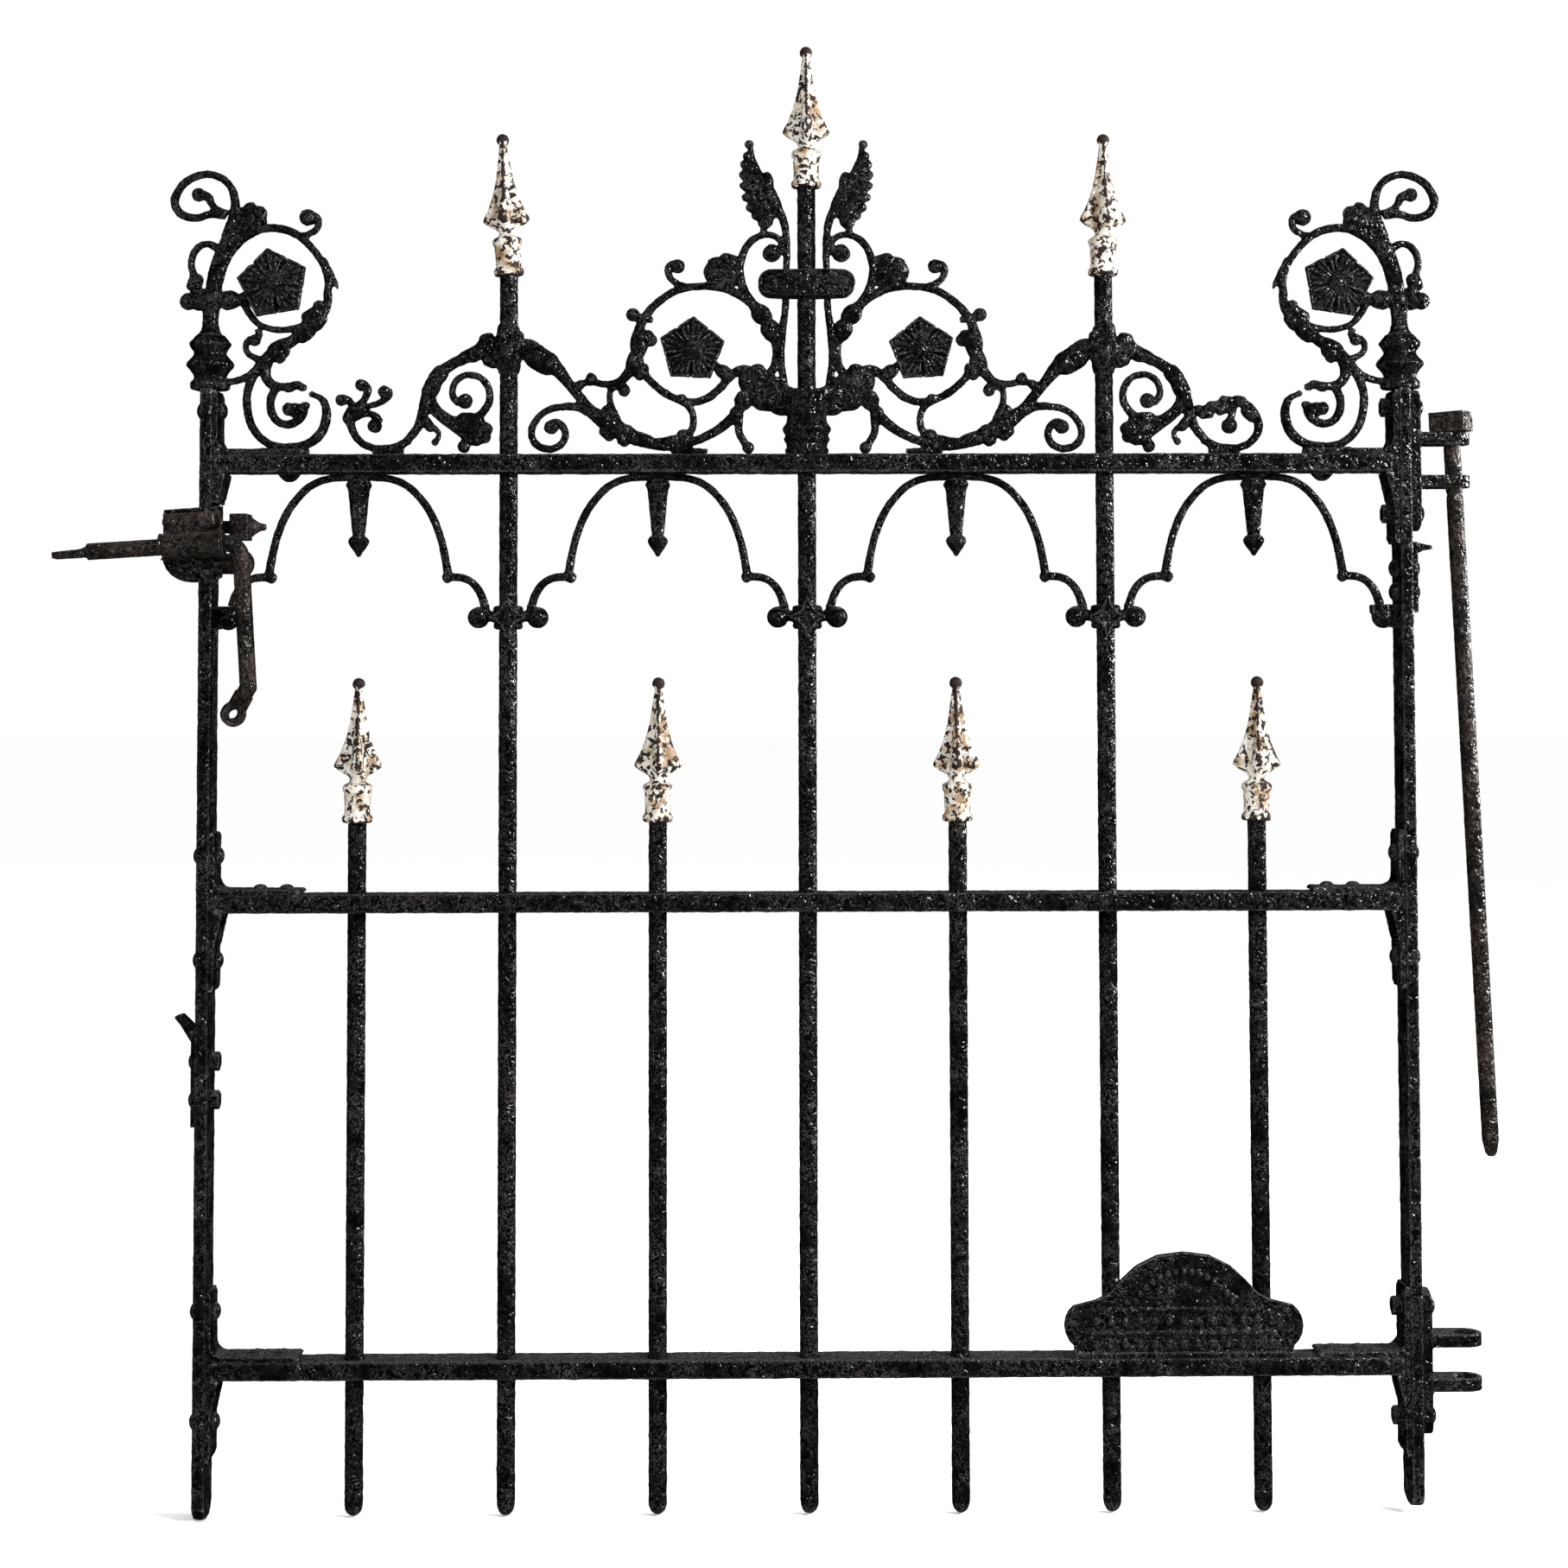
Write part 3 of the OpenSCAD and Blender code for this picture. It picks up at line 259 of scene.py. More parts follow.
def makeIronFinish(name, colours):
    finish, tree, shader = newFinish(name)
    lumps = addNoise(tree, ironGrain["lumpScale"], 0.6, 0.5, 1.0)
    # Crack noise for the thin painted highlight lines
    glintCrackNoise = addMath(tree, "SUBTRACT", addNoise(tree, ironGrain["glintCrackScale"], 3, 0.6, 1.5), 0.5)
    glintCrackNoise = addMath(tree, "ABSOLUTE", glintCrackNoise, 0)
    grit = addNoise(tree, ironGrain["gritScale"], 2, 0.6)
    patches = addNoise(tree, ironGrain["patchScale"], 6, 0.62)
    geometry = tree.nodes.new("ShaderNodeNewGeometry")
    ridge = addRange(tree, geometry.outputs["Pointiness"], *ironGrain["ridge"])
    colour = addMix(tree, addRange(tree, lumps, 0.4, 0.7), colours["base"], colours["dusty"])
    rustField = addMath(tree, "ADD", patches, addMath(tree, "MULTIPLY", grit, 0.12))
    rusty = addRange(tree, rustField, colours["rustFrom"] + 0.06, colours["rustFrom"] + 0.16)
    rustGrain = addRange(tree, grit, 0.3, 0.6, 0.3, 1)
    colour = addMix(tree, addMath(tree, "MULTIPLY", rusty, rustGrain), colour, colours["rust"])
    # Thin crack lines in the worn grey are painted highlights: bright streaks that stand in for glints on the
    # wrinkled paint, thinned out by patches
    paintedGlintLines = addRange(tree, glintCrackNoise, *ironGrain["glintCrackWidth"], 1, 0)
    paintedGlintLines = addMath(tree, "MULTIPLY", paintedGlintLines, addRange(tree, patches, 0.36, 0.6, 0, 0.6))
    # The worn grey mask is partly real wear and partly painted highlight: the ridge grey is edge wear that also
    # stands in for bright edge glints, and the crack lines are painted glints
    worn = addMath(tree, "MAXIMUM", paintedGlintLines, addMath(tree, "MULTIPLY", ridge, addRange(tree, grit, 0.42, 0.56)))
    colour = addMix(tree, worn, colour, colours["worn"])
    upward = tree.nodes.new("ShaderNodeSeparateXYZ")
    tree.links.new(geometry.outputs["Normal"], upward.inputs["Vector"])
    dust = addRange(tree, upward.outputs["Z"], *ironGrain["facingUp"])
    dust = addMath(tree, "MULTIPLY", dust, addRange(tree, grit, 0.35, 0.6))
    colour = addMix(tree, dust, colour, colours["dust"])
    tree.links.new(colour, shader.inputs["Base Color"])
    dull = addRange(tree, addNoise(tree, ironGrain["dullScale"], 4), 0.35, 0.65, *colours["gloss"])
    dull = addMath(tree, "ADD", dull, addMath(tree, "MULTIPLY", rusty, 0.3))
    tree.links.new(dull, shader.inputs["Roughness"])
    shader.inputs["Specular IOR Level"].default_value = colours["specular"]
    normal = addBump(tree, lumps, ironGrain["lumpDepth"], 1.0)
    tree.links.new(addBump(tree, grit, ironGrain["gritDepth"], 0.6, normal), shader.inputs["Normal"])
    return finish


def makeChippedFinish(name, colours):
    finish, tree, shader = newFinish(name)
    flakes = addNoise(tree, colours["flakeScale"], 4, 0.6, 0.4)
    grit = addNoise(tree, colours["gritScale"], 3, 0.6)
    stains = addNoise(tree, colours["stainScale"], 5, 0.6)
    geometry = tree.nodes.new("ShaderNodeNewGeometry")
    ridge = addRange(tree, geometry.outputs["Pointiness"], 0.5, 0.6, 0, 0.16)
    exposed = tree.nodes.new("ShaderNodeAttribute")
    exposed.attribute_name = "exposed"
    ridge = addMath(tree, "ADD", ridge, addMath(tree, "MULTIPLY", exposed.outputs["Fac"], 0.3))
    flaking = addMath(tree, "ADD", flakes, ridge)
    chips = addRange(tree, flaking, colours["chipFrom"], colours["chipFrom"] + 0.015)
    paint = addMix(tree, addRange(tree, stains, 0.45, 0.62), colours["cream"], colours["stain"])
    metal = addMix(tree, addRange(tree, grit, 0.45, 0.6), colours["iron"], colours["rust"])
    tree.links.new(addMix(tree, chips, paint, metal), shader.inputs["Base Color"])
    tree.links.new(addRange(tree, chips, 0, 1, 0.42, 0.75), shader.inputs["Roughness"])
    shader.inputs["Specular IOR Level"].default_value = colours["specular"]
    lower = addMath(tree, "SUBTRACT", 1.0, chips)
    normal = addBump(tree, lower, 0.0003, 0.8)
    tree.links.new(addBump(tree, grit, 0.00015, 0.4, normal), shader.inputs["Normal"])
    return finish


finishes = {
    "black_paint": makeIronFinish("blackPaint", blackPaint),
    "rusty_iron": makeIronFinish("rustyIron", rustyIron),
    "chipped_paint": makeChippedFinish("chippedPaint", chippedPaint),
}
print("finishes made")


# Ways of making
def choose(obj):
    if bpy.context.object and bpy.context.object.mode != "OBJECT":
        bpy.ops.object.mode_set(mode="OBJECT")
    bpy.ops.object.select_all(action="DESELECT")
    obj.select_set(True)
    bpy.context.view_layer.objects.active = obj


def applyModifier(obj, kind, **settings):
    choose(obj)
    modifier = obj.modifiers.new(kind.title(), kind)
    for key, value in settings.items():
        setattr(modifier, key, value)
    bpy.ops.object.modifier_apply(modifier=modifier.name)


def joinAll(objs, name):
    choose(objs[0])
    for obj in objs[1:]:
        obj.select_set(True)
    if len(objs) > 1:
        bpy.ops.object.join()
    objs[0].name = name
    return objs[0]


def moveMesh(obj, matrix):
    obj.data.transform(matrix)
    if matrix.determinant() < 0:
        obj.data.flip_normals()
    obj.data.update()


def copyOf(obj, name):
    other = bpy.data.objects.new(name, obj.data.copy())
    bpy.context.scene.collection.objects.link(other)
    return other


def copyNode(node, name):
    other = copyOf(frame["nodes"][node], name)
    choose(other)
    bpy.ops.object.mode_set(mode="EDIT")
    bpy.ops.mesh.select_all(action="SELECT")
    bpy.ops.mesh.remove_doubles(threshold=mergeWithin)
    bpy.ops.object.mode_set(mode="OBJECT")
    return other


# Round bars of changing width along smooth runs of (x, z, width), or of (x, y, z, width)
def sweepStems(name, stems):
    curve = bpy.data.curves.new(name, "CURVE")
    curve.dimensions = "3D"
    curve.bevel_depth = 0.5 * mm
    curve.bevel_resolution = 3
    curve.resolution_u = 5
    curve.use_fill_caps = True
    for stem in stems:
        spline = curve.splines.new("BEZIER")
        spline.bezier_points.add(len(stem) - 1)
        for knot, values in zip(spline.bezier_points, stem):
            x, y, z, width = values if len(values) == 4 else (values[0], 0, values[1], values[2])
            knot.co = (x * mm, y * mm, z * mm)
            knot.radius = width
            knot.handle_left_type = knot.handle_right_type = "AUTO"
    obj = bpy.data.objects.new(name, curve)
    bpy.context.scene.collection.objects.link(obj)
    choose(obj)
    bpy.ops.object.convert(target="MESH")
    return bpy.context.object


# Presses a casting's relief into its depth, and thickens its thin stems from front to back
def pressDepth(obj, half, gain):
    places = np.zeros(len(obj.data.vertices) * 3)
    obj.data.vertices.foreach_get("co", places)
    places = places.reshape(-1, 3)
    places[:, 1] = half * mm * np.tanh(gain * places[:, 1] / (half * mm))
    obj.data.vertices.foreach_set("co", places.ravel())
    obj.data.update()


# A ball and a blunt drop of unit size, with their long axis along x
def unitDrop(blunt):
    bpy.ops.object.select_all(action="DESELECT")
    bpy.ops.mesh.primitive_uv_sphere_add(segments=16, ring_count=10, radius=1, rotation=(0, math.pi / 2, 0))
    bpy.ops.object.transform_apply(rotation=True)
    drop = bpy.context.object
    for vertex in drop.data.vertices:
        along = min(abs(vertex.co.x), 0.999)
        if blunt:
            vertex.co.yz *= math.sqrt((1 - along**3) / (1 - along**2))
    return drop


drops = {"ball": unitDrop(False), "blunt": unitDrop(True)}


# Leaf lobes as blunt drops from (x0, z0) to (x1, z1), with a width and a depth, and knobs as balls
def addLobes(name, lobes=(), knobs=()):
    parts = []
    for x0, z0, x1, z1, width, depth, *front in lobes:
        length = math.hypot(x1 - x0, z1 - z0)
        place = Matrix.Translation(((x0 + x1) / 2, -sum(front), (z0 + z1) / 2))
        turn = Matrix.Rotation(-math.atan2(z1 - z0, x1 - x0), 4, "Y")
        size = Matrix.Diagonal((length / 2, depth, width / 2, 1))
        parts.append((drops["blunt"], place @ turn @ size))
    for x, z, radius, *front in knobs:
        size = Matrix.Diagonal((radius, radius, radius, 1))
        parts.append((drops["ball"], Matrix.Translation((x, -sum(front), z)) @ size))
    made = []
    for drop, matrix in parts:
        made.append(copyOf(drop, name))
        moveMesh(made[-1], Matrix.Scale(mm, 4) @ matrix)
    return joinAll(made, name)


# A piece turned about z from its (radius, height) profile; few sides make facets
def turnPiece(name, profile, sides=32, twist=0.0):
    mesh = bpy.data.meshes.new(name)
    ends = [(0, profile[0][1]), *profile, (0, profile[-1][1])]
    mesh.from_pydata([(r * mm, 0, z * mm) for r, z in ends], [(i, i + 1) for i in range(len(ends) - 1)], [])
    obj = bpy.data.objects.new(name, mesh)
    bpy.context.scene.collection.objects.link(obj)
    choose(obj)
    bpy.ops.object.mode_set(mode="EDIT")
    bpy.ops.mesh.select_all(action="SELECT")
    bpy.ops.mesh.spin(steps=sides, angle=math.tau, center=(0, 0, 0), axis=(0, 0, 1))
    bpy.ops.mesh.select_all(action="SELECT")
    bpy.ops.mesh.remove_doubles(threshold=mergeWithin)
    bpy.ops.mesh.normals_make_consistent(inside=False)
    bpy.ops.object.mode_set(mode="OBJECT")
    if twist:
        moveMesh(obj, Matrix.Rotation(math.radians(twist), 4, "Z"))
    return obj


# A flat plate from its (x, z) outline, between two depths
def cutPlate(name, outline, front, back):
    mesh = bpy.data.meshes.new(name)
    mesh.from_pydata([(x * mm, front * mm, z * mm) for x, z in outline], [], [tuple(range(len(outline)))])
    obj = bpy.data.objects.new(name, mesh)
    bpy.context.scene.collection.objects.link(obj)
    choose(obj)
    bpy.ops.object.mode_set(mode="EDIT")
    bpy.ops.mesh.select_all(action="SELECT")
    bpy.ops.mesh.extrude_region_move(TRANSFORM_OT_translate={"value": (0, (back - front) * mm, 0)})
    bpy.ops.mesh.select_all(action="SELECT")
    bpy.ops.mesh.normals_make_consistent(inside=False)
    bpy.ops.object.mode_set(mode="OBJECT")
    return obj


lumpTextures = {}


def lumpTexture(size):
    if size not in lumpTextures:
        texture = bpy.data.textures.new("lumps", "CLOUDS")
        texture.noise_scale = size * mm
        texture.noise_depth = 2
        lumpTextures[size] = texture
    return lumpTextures[size]


# One skin over all the joined shapes, softened, with the lumps of old cast iron under paint
def castSkin(obj, voxel, soften=2, lumps=((7, 0.5), (2.6, 0.35)), keep=0.5):
    applyModifier(obj, "REMESH", mode="VOXEL", voxel_size=voxel * mm, use_smooth_shade=True)
    if soften:
        applyModifier(obj, "SMOOTH", factor=0.5, iterations=soften)
    for size, height in lumps:
        applyModifier(
            obj, "DISPLACE", texture=lumpTexture(size), texture_coords="LOCAL",
            strength=height * mm, mid_level=0.5
        )
    if keep < 1:
        applyModifier(obj, "DECIMATE", ratio=keep)
    choose(obj)
    bpy.ops.object.shade_smooth()


def finishPiece(obj, *nodes):
    obj.data.materials.clear()
    obj.data.materials.append(finishes[slotOf[nodes[0]]])
    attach(obj, bodyOf[nodes[0]])
    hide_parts(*nodes)


# Bars, rails and plain fittings: the frame's own shapes with a worn skin
barSkins = {
    "voxel": {"stile": 1.5, "rail": 1.5, "picket": 1.5, "bracket": 1.1, "small": 0.8},
    "lumps": ((9, 0.7), (3.4, 0.7)),
    "smallLumps": ((5, 0.3), (2, 0.2)),
}


def recast(node, name, voxel, lumps, extras=(), keep=0.5, soften=1):
    body = joinAll([copyNode(node, name), *extras], name)
    castSkin(body, voxel, soften, lumps, keep)
    finishPiece(body, node)
    return body


for node, name in (("latch_stile", "latchStile"), ("hinge_stile", "hingeStile")):
    recast(node, name, barSkins["voxel"]["stile"], barSkins["lumps"])
for node, name in (("top_rail", "topRail"), ("middle_rail", "middleRail"), ("bottom_rail", "bottomRail")):
    recast(node, name, barSkins["voxel"]["rail"], barSkins["lumps"])
for number in range(1, 8):
    recast(f"picket_{number}", f"picket{number}", barSkins["voxel"]["picket"], barSkins["lumps"])
print("stiles, rails and pickets made")

for height in ("top", "middle", "bottom"):
    for side in ("left", "right"):
        recast(f"bracket_{height}_{side}", f"bracket{height.title()}{side.title()}",
               barSkins["voxel"]["bracket"], barSkins["lumps"])
for node, name in (
    ("bracket_rivets", "bracketRivets"), ("hinge_bolts", "hingeBolts"), ("plate_bolts", "plateBolts"),
    ("scroll_bolts", "scrollBolts"), ("hook_plate", "hookPlate"), ("stop_plate", "stopPlate"),
    ("hinge_bracket_upper", "hingeBracketUpper"), ("hinge_bracket_lower", "hingeBracketLower"),
    ("latch_lug", "latchLug"), ("latch_fasteners", "latchFasteners"), ("stile_bosses", "stileBosses"),
):
    recast(node, name, barSkins["voxel"]["small"], barSkins["smallLumps"])
print("brackets, plates and fasteners made")


# Cresting
castSkins = {"voxel": 0.9, "soften": 2, "lumps": ((7, 0.9), (2.6, 0.7)),
    "keep": 0.6, "half": 6.2, "gain": 1.5}


def makeCasting(name, stems, lobes, knobs, extras=()):
    bars = sweepStems(name, stems)
    pressDepth(bars, castSkins["half"], castSkins["gain"])
    body = joinAll([bars, addLobes(name + "Leaves", lobes, knobs), *extras], name)
    castSkin(body, castSkins["voxel"], castSkins["soften"], castSkins["lumps"], castSkins["keep"])
    return body


# Puts a casting drawn for the left side at its place, and its mirror image at the right
def placePair(body, names, nodes, originX, originZ):
    other = copyOf(body, names[1])
    body.name = names[0]
    moveMesh(body, Matrix.Translation((originX[-1], 0, originZ)))
    moveMesh(other, Matrix.Translation((originX[1], 0, originZ)) @ Matrix.Scale(-1, 4, (1, 0, 0)))
    finishPiece(body, nodes[0])
    finishPiece(other, nodes[1])


# x runs inwards from the stile's centre, z from the top rail's top face
cornerScroll = {
    "stems": [
        [(0, 92, 13), (0, 104, 12.5), (1, 118, 13), (3, 138, 11), (8, 156, 10), (13, 168, 9.5),
            (17, 178, 8)],
        [(-14, 118, 9), (-6, 119, 11), (4, 120, 11), (14, 120, 12), (24, 120, 9), (36, 124, 12),
            (46, 129, 14)],
        [(-9, 124, 9), (-13, 138, 6.5), (-15, 149, 5.5), (-11, 159, 5.5), (-3, 163, 5.5), (6, 159, 7)],
        [(12, 168, 9), (17, 184, 8), (18, 197, 7), (13, 209, 6), (4, 215.5, 6), (-7, 216.5, 6),
            (-18, 212, 6),
            (-26, 203, 6.4), (-28, 194, 6.8), (-23, 186, 6.6), (-12, 183, 6), (0, 186, 6), (10, 185, 7)],
        [(12, 186, 7), (5, 189, 6), (0, 194, 6), (-2.5, 199, 7), (-8, 201, 8)],
        [(3, 124, 9), (9, 146, 8), (17, 160, 7.5), (30, 171, 7), (42, 175, 6.5), (54, 174.5, 6.5),
            (66, 170, 6.5),
            (77, 160, 6), (85, 149, 5.6), (89, 138, 5.6), (90, 126, 6), (88, 113, 7.5), (82, 105, 9)],
        [(86, 152, 4), (91.5, 140, 5.5), (95.5, 132, 4), (97.5, 128, 1.6)],
        [(68, 169, 5), (76, 171, 5.2), (81.5, 176, 5.2), (81.5, 183, 5.5), (76, 185, 7)],
        [(80, 106, 10), (72, 100, 6.5), (60, 97, 5.2), (48, 97, 5), (37, 101, 5), (30, 109, 6),
            (26, 116, 6)],
        [(82, 107, 10), (74, 98, 9), (64, 89, 9), (54, 83, 9), (45, 76, 9), (42, 64, 8.5), (44, 58, 8),
            (50, 53, 8),
            (57, 53, 6), (65, 53.5, 6), (71, 52, 5.5)],
        [(36, 97, 5), (37.5, 92, 5), (35, 89, 6)],
        [(31, 91, 4.5), (27.5, 86, 5), (28, 80, 5), (33, 75.5, 5), (40, 73, 6)],
        [(36, 66, 7), (29, 61, 5.5), (21, 57.5, 5.5), (9, 56, 6)],
        [(40, 72, 8), (34, 63, 7), (29, 50, 6.5), (28.5, 36, 6.5), (33, 21, 6.5), (42, 11, 6.5),
            (51, 7, 6.5),
            (62, 6.5, 6.5), (74, 8.5, 7.2), (84, 16, 7.8), (88.5, 26, 7.5), (89, 35, 7), (85.5, 43, 5.5),
            (78, 47, 4.5)],
        [(50, 52, 7), (46.5, 42, 6.5), (48, 31, 6.5), (54, 25, 6.5), (61, 24, 6.8), (68, 27.5, 7),
            (72, 34, 6.5),
            (71.5, 38, 6)],
        [(44, 3, 5), (60, 3.2, 6), (76, 3, 5)],
    ],
    "lobes": [
        (-15, 126, -9, 140, 12, 6), (-12, 112, -6, 124, 12, 6.5), (6, 118, 22, 121, 15, 7.5),
        (22, 120, 38, 123, 12, 6.5),
        (-7, 112, 8, 128, 13, 7.5), (0, 128, 6, 142, 12, 6.5),
        (14, 170, 42, 190, 17, 3.6), (16, 168, 43, 182, 9, 4.4), (15, 172, 39, 192, 8, 4.4),
        (20, 172, 42, 187, 8, 4.8),
        (17, 178, 33, 195, 9, 4), (5, 140, 16, 172, 9, 6.2),
        (72, 98, 84, 114, 12, 7), (78, 96, 88, 108, 9, 6.5), (70, 104, 82, 112, 9, 6.5),
        (66, 88, 80, 99, 11, 6.5),
        (44, 79, 62, 88, 11, 7), (46, 74, 60, 83, 12, 7), (52, 82, 66, 90, 9, 6.5), (50, 72, 57, 78, 8, 6),
        (56, 33, 70, 38, 9, 5.5), (62, 30, 76, 40, 8, 5), (40, 64, 46, 80, 10, 6.5), (56, 50, 70, 56, 7, 5),
        (88, 118, 92, 140, 6, 5),
    ],
    "knobs": [
        (-17, 118.5, 6.8), (74, 183.5, 6.6), (-10, 201, 5.4), (34, 88.5, 4.6), (60, 36, 5),
        (71, 52, 3.2), (78, 47, 2.6),
        (83, 115, 4, 3), (57, 84, 3.4, 4), (0, 120, 4.5, 5),
    ],
    "baluster": [
        (13.2, 50), (15, 51), (15.6, 53.5), (15, 56.5), (13, 58), (12.2, 60), (13.4, 62.5), (17.6, 67.5),
        (18.6, 69.5),
        (17.6, 71.5), (13.6, 76), (12.4, 78), (13, 79.6), (15.4, 83.5), (16.2, 85.4), (15.4, 87.2),
        (12.6, 90.5),
        (11.4, 92.2), (9.4, 93), (7.4, 96), (6.8, 99),
    ],
}
baluster = turnPiece("baluster", cornerScroll["baluster"], sides=8, twist=12)
corner = makeCasting(
    "cornerScroll", cornerScroll["stems"], cornerScroll["lobes"], cornerScroll["knobs"], [baluster])
placePair(corner, ("cornerScrollLeft", "cornerScrollRight"), ("corner_scroll_left", "corner_scroll_right"),
          stileX, railTop)
print("corner scrolls made")

# x runs inwards from the tall side picket's centre, z from the top rail's top face
sideScroll = {
    "inner": [
        [(0, 84, 15), (10, 82, 14), (20, 79, 14), (30, 73, 13), (38, 65, 11), (46, 55, 8.5), (54, 45, 8),
            (62, 35, 9.5),
            (72, 27, 13), (82, 20, 13), (95, 13, 10), (110, 9, 8.5), (130, 12, 8)],
        [(62, 33, 8), (52, 37, 6.5), (40, 37, 6), (30, 34.5, 5.6), (22, 28, 5.6), (17.5, 18, 5.8),
            (20, 9.5, 6),
            (28, 5, 6.2), (37, 6, 6), (43, 13, 5.8), (42.5, 20, 6), (37, 25, 6.4), (32, 23, 7)],
        [(50, 51, 6), (56, 55, 5.4), (64, 56, 5.4), (74, 54.5, 5.2), (83, 56, 6), (90, 61, 8),
            (96, 70, 10), (99, 82, 9)],
        [(79, 55, 5), (77.5, 46, 5.2), (79, 36, 5.4), (83, 27, 6.5)],
        [(80, 51, 4.5), (85, 54, 4.5), (90, 52, 4.5)],
    ],
    "innerLobes": [
        (6, 84, 24, 80, 15, 8.2), (12, 80, 38, 66, 19, 8), (12, 85, 28, 80, 8, 7.5),
        (28, 76, 41, 60, 10, 6.8),
        (66, 32, 80, 22, 14, 7), (74, 34, 84, 30, 7, 6), (76, 28, 90, 14, 13, 7.2), (84, 14, 92, 8, 9, 6),
        (86, 22, 98, 12, 11, 6.8), (92, 16, 112, 9, 10, 6.5), (70, 20, 78, 13, 7, 5.5),
        (28, 23, 38, 20, 8, 5.5), (60, 58, 68, 58, 8, 6), (50, 50, 58, 57, 7, 5.5),
        (92, 62, 100, 84, 11, 6.5),
        (98, 58, 106, 70, 9, 6),
    ],
    "innerKnobs": [(22, 77, 5, 4), (31, 70, 5.4, 4), (32.5, 21.5, 5.6), (88.5, 49.5, 4.8), (63, 59.5, 4),
        (77, 14.5, 4.2), (75, 35, 3.6), (104, 62, 4)],
    "arm": [
        [(0, 84, 15), (-10, 83, 14), (-22, 80, 13), (-33, 75, 9), (-45, 69, 8.5), (-55, 61, 10),
            (-61, 49, 11),
            (-65, 35, 8.5), (-70, 21, 7), (-78, 11, 6.6)],
        [(-60, 49, 7), (-57, 38, 7), (-48, 29.5, 7), (-36, 26.5, 6.4), (-25, 29, 6.6), (-17, 37, 6.4),
            (-14.5, 47, 6),
            (-18, 56, 5.6), (-27, 61.5, 5.4), (-36, 60.5, 5.4), (-42, 54, 5.4), (-42.5, 45, 5.6),
            (-38, 40, 6.5)],
        [(-62, 38, 7), (-50, 27, 6), (-40, 19, 5), (-34, 13, 5), (-34, 8, 5.5)],
        [(-66, 34, 6), (-62, 25, 5), (-56, 20, 4.6), (-53.5, 16, 4.4), (-56, 10, 4.6)],
    ],
    "armLobes": [
        (-6, 84, -26, 80, 17, 8.4), (-18, 82, -34, 74, 12, 7), (-26, 80, -40, 72, 9, 6.5),
        (-48, 68, -60, 54, 13, 7),
        (-54, 62, -64, 42, 13, 7), (-60, 50, -66, 32, 9, 6.2), (-40, 28, -18, 25, 13, 6.5),
        (-38, 24, -14, 12, 14, 6),
        (-32, 20, -12, 20, 12, 6.4), (-36, 14, -20, 10, 9, 5.6), (-66, 30, -58, 18, 8, 5.5),
        (-5, 80, -3, 102, 10, 4.5, 7), (5, 78, 9, 95, 10, 4.5, 6.5), (-10, 72, -5, 88, 9, 4, 7),
        (2, 65, 6, 79, 9, 3.5, 7.5),
        (-1, 68, -1, 86, 7, 3.5, 9), (-9, 78, 9, 88, 18, 9), (-11, 91, -23, 88, 9, 7.5),
        (-20, 75, -7, 70, 11, 7.4),
    ],
    "armKnobs": [(-33.5, 41.5, 6), (-34.5, 6.5, 5), (-56.5, 10, 3), (-15, 87, 5, 3.5), (-21, 79, 4.6, 4)],
    "openCurls": [
        [(-76, 12, 6.8), (-84, 7, 6.6), (-94, 5, 6.4), (-105, 6, 6.2), (-115, 12, 6), (-120, 21, 6.6),
            (-121, 30, 8.5),
            (-119, 37, 7)],
        [(-120, 34, 6.5), (-121, 41, 5), (-126, 44, 6)],
        [(-117, 36, 6), (-110, 44, 5.4), (-108, 51, 6), (-111, 55, 6.5)],
        [(-118, 35, 6), (-106, 38, 4.6), (-96, 42, 5.2), (-91.5, 47, 6), (-93, 51, 6)],
        [(-118, 29, 6.5), (-109, 32, 5.2), (-102, 30, 5.6), (-98, 25, 6)],
        [(-104, 3, 5), (-90, 3, 6), (-80, 3, 5)],
    ],
    "openLobes": [(-125, 24, -115, 40, 11, 6), (-122, 32, -110, 38, 9, 5.5)],
    "openKnobs": [(-128, 42.5, 4.8), (-113, 54, 4.8), (-95.5, 49, 4.8), (-102.5, 22.5, 5.6)],
    "closedCurl": [
        [(-76, 12, 6.8), (-84, 7, 6.6), (-94, 5, 6.4), (-106, 6, 6.2), (-115, 12, 6.2), (-119, 21, 6.8),
            (-115, 32, 8),
            (-108, 39, 7), (-98, 40, 6), (-84, 38, 6), (-73, 33, 5.5)],
        [(-100, 38, 5), (-99, 32, 5), (-97, 27, 6)],
        [(-104, 3, 5), (-90, 3, 6), (-80, 3, 5)],
    ],
    "closedLobes": [
        (-72, 31, -84, 33, 9, 6), (-78, 36, -90, 37, 10, 6), (-86, 32, -96, 37, 8, 6),
        (-88, 40, -100, 41, 9, 6),
        (-98, 42, -110, 40, 9, 6), (-106, 36, -118, 26, 9, 6),
    ],
    "closedKnobs": [(-96.5, 22, 6.2), (-73, 34, 4.6), (-81, 31, 3.6, 2), (-92, 42, 3.6, 2)],
    "collar": [(7.6, 62), (8.8, 66), (9.8, 72), (10.6, 80), (10.6, 88), (9.4, 94), (7.8, 99)],
}
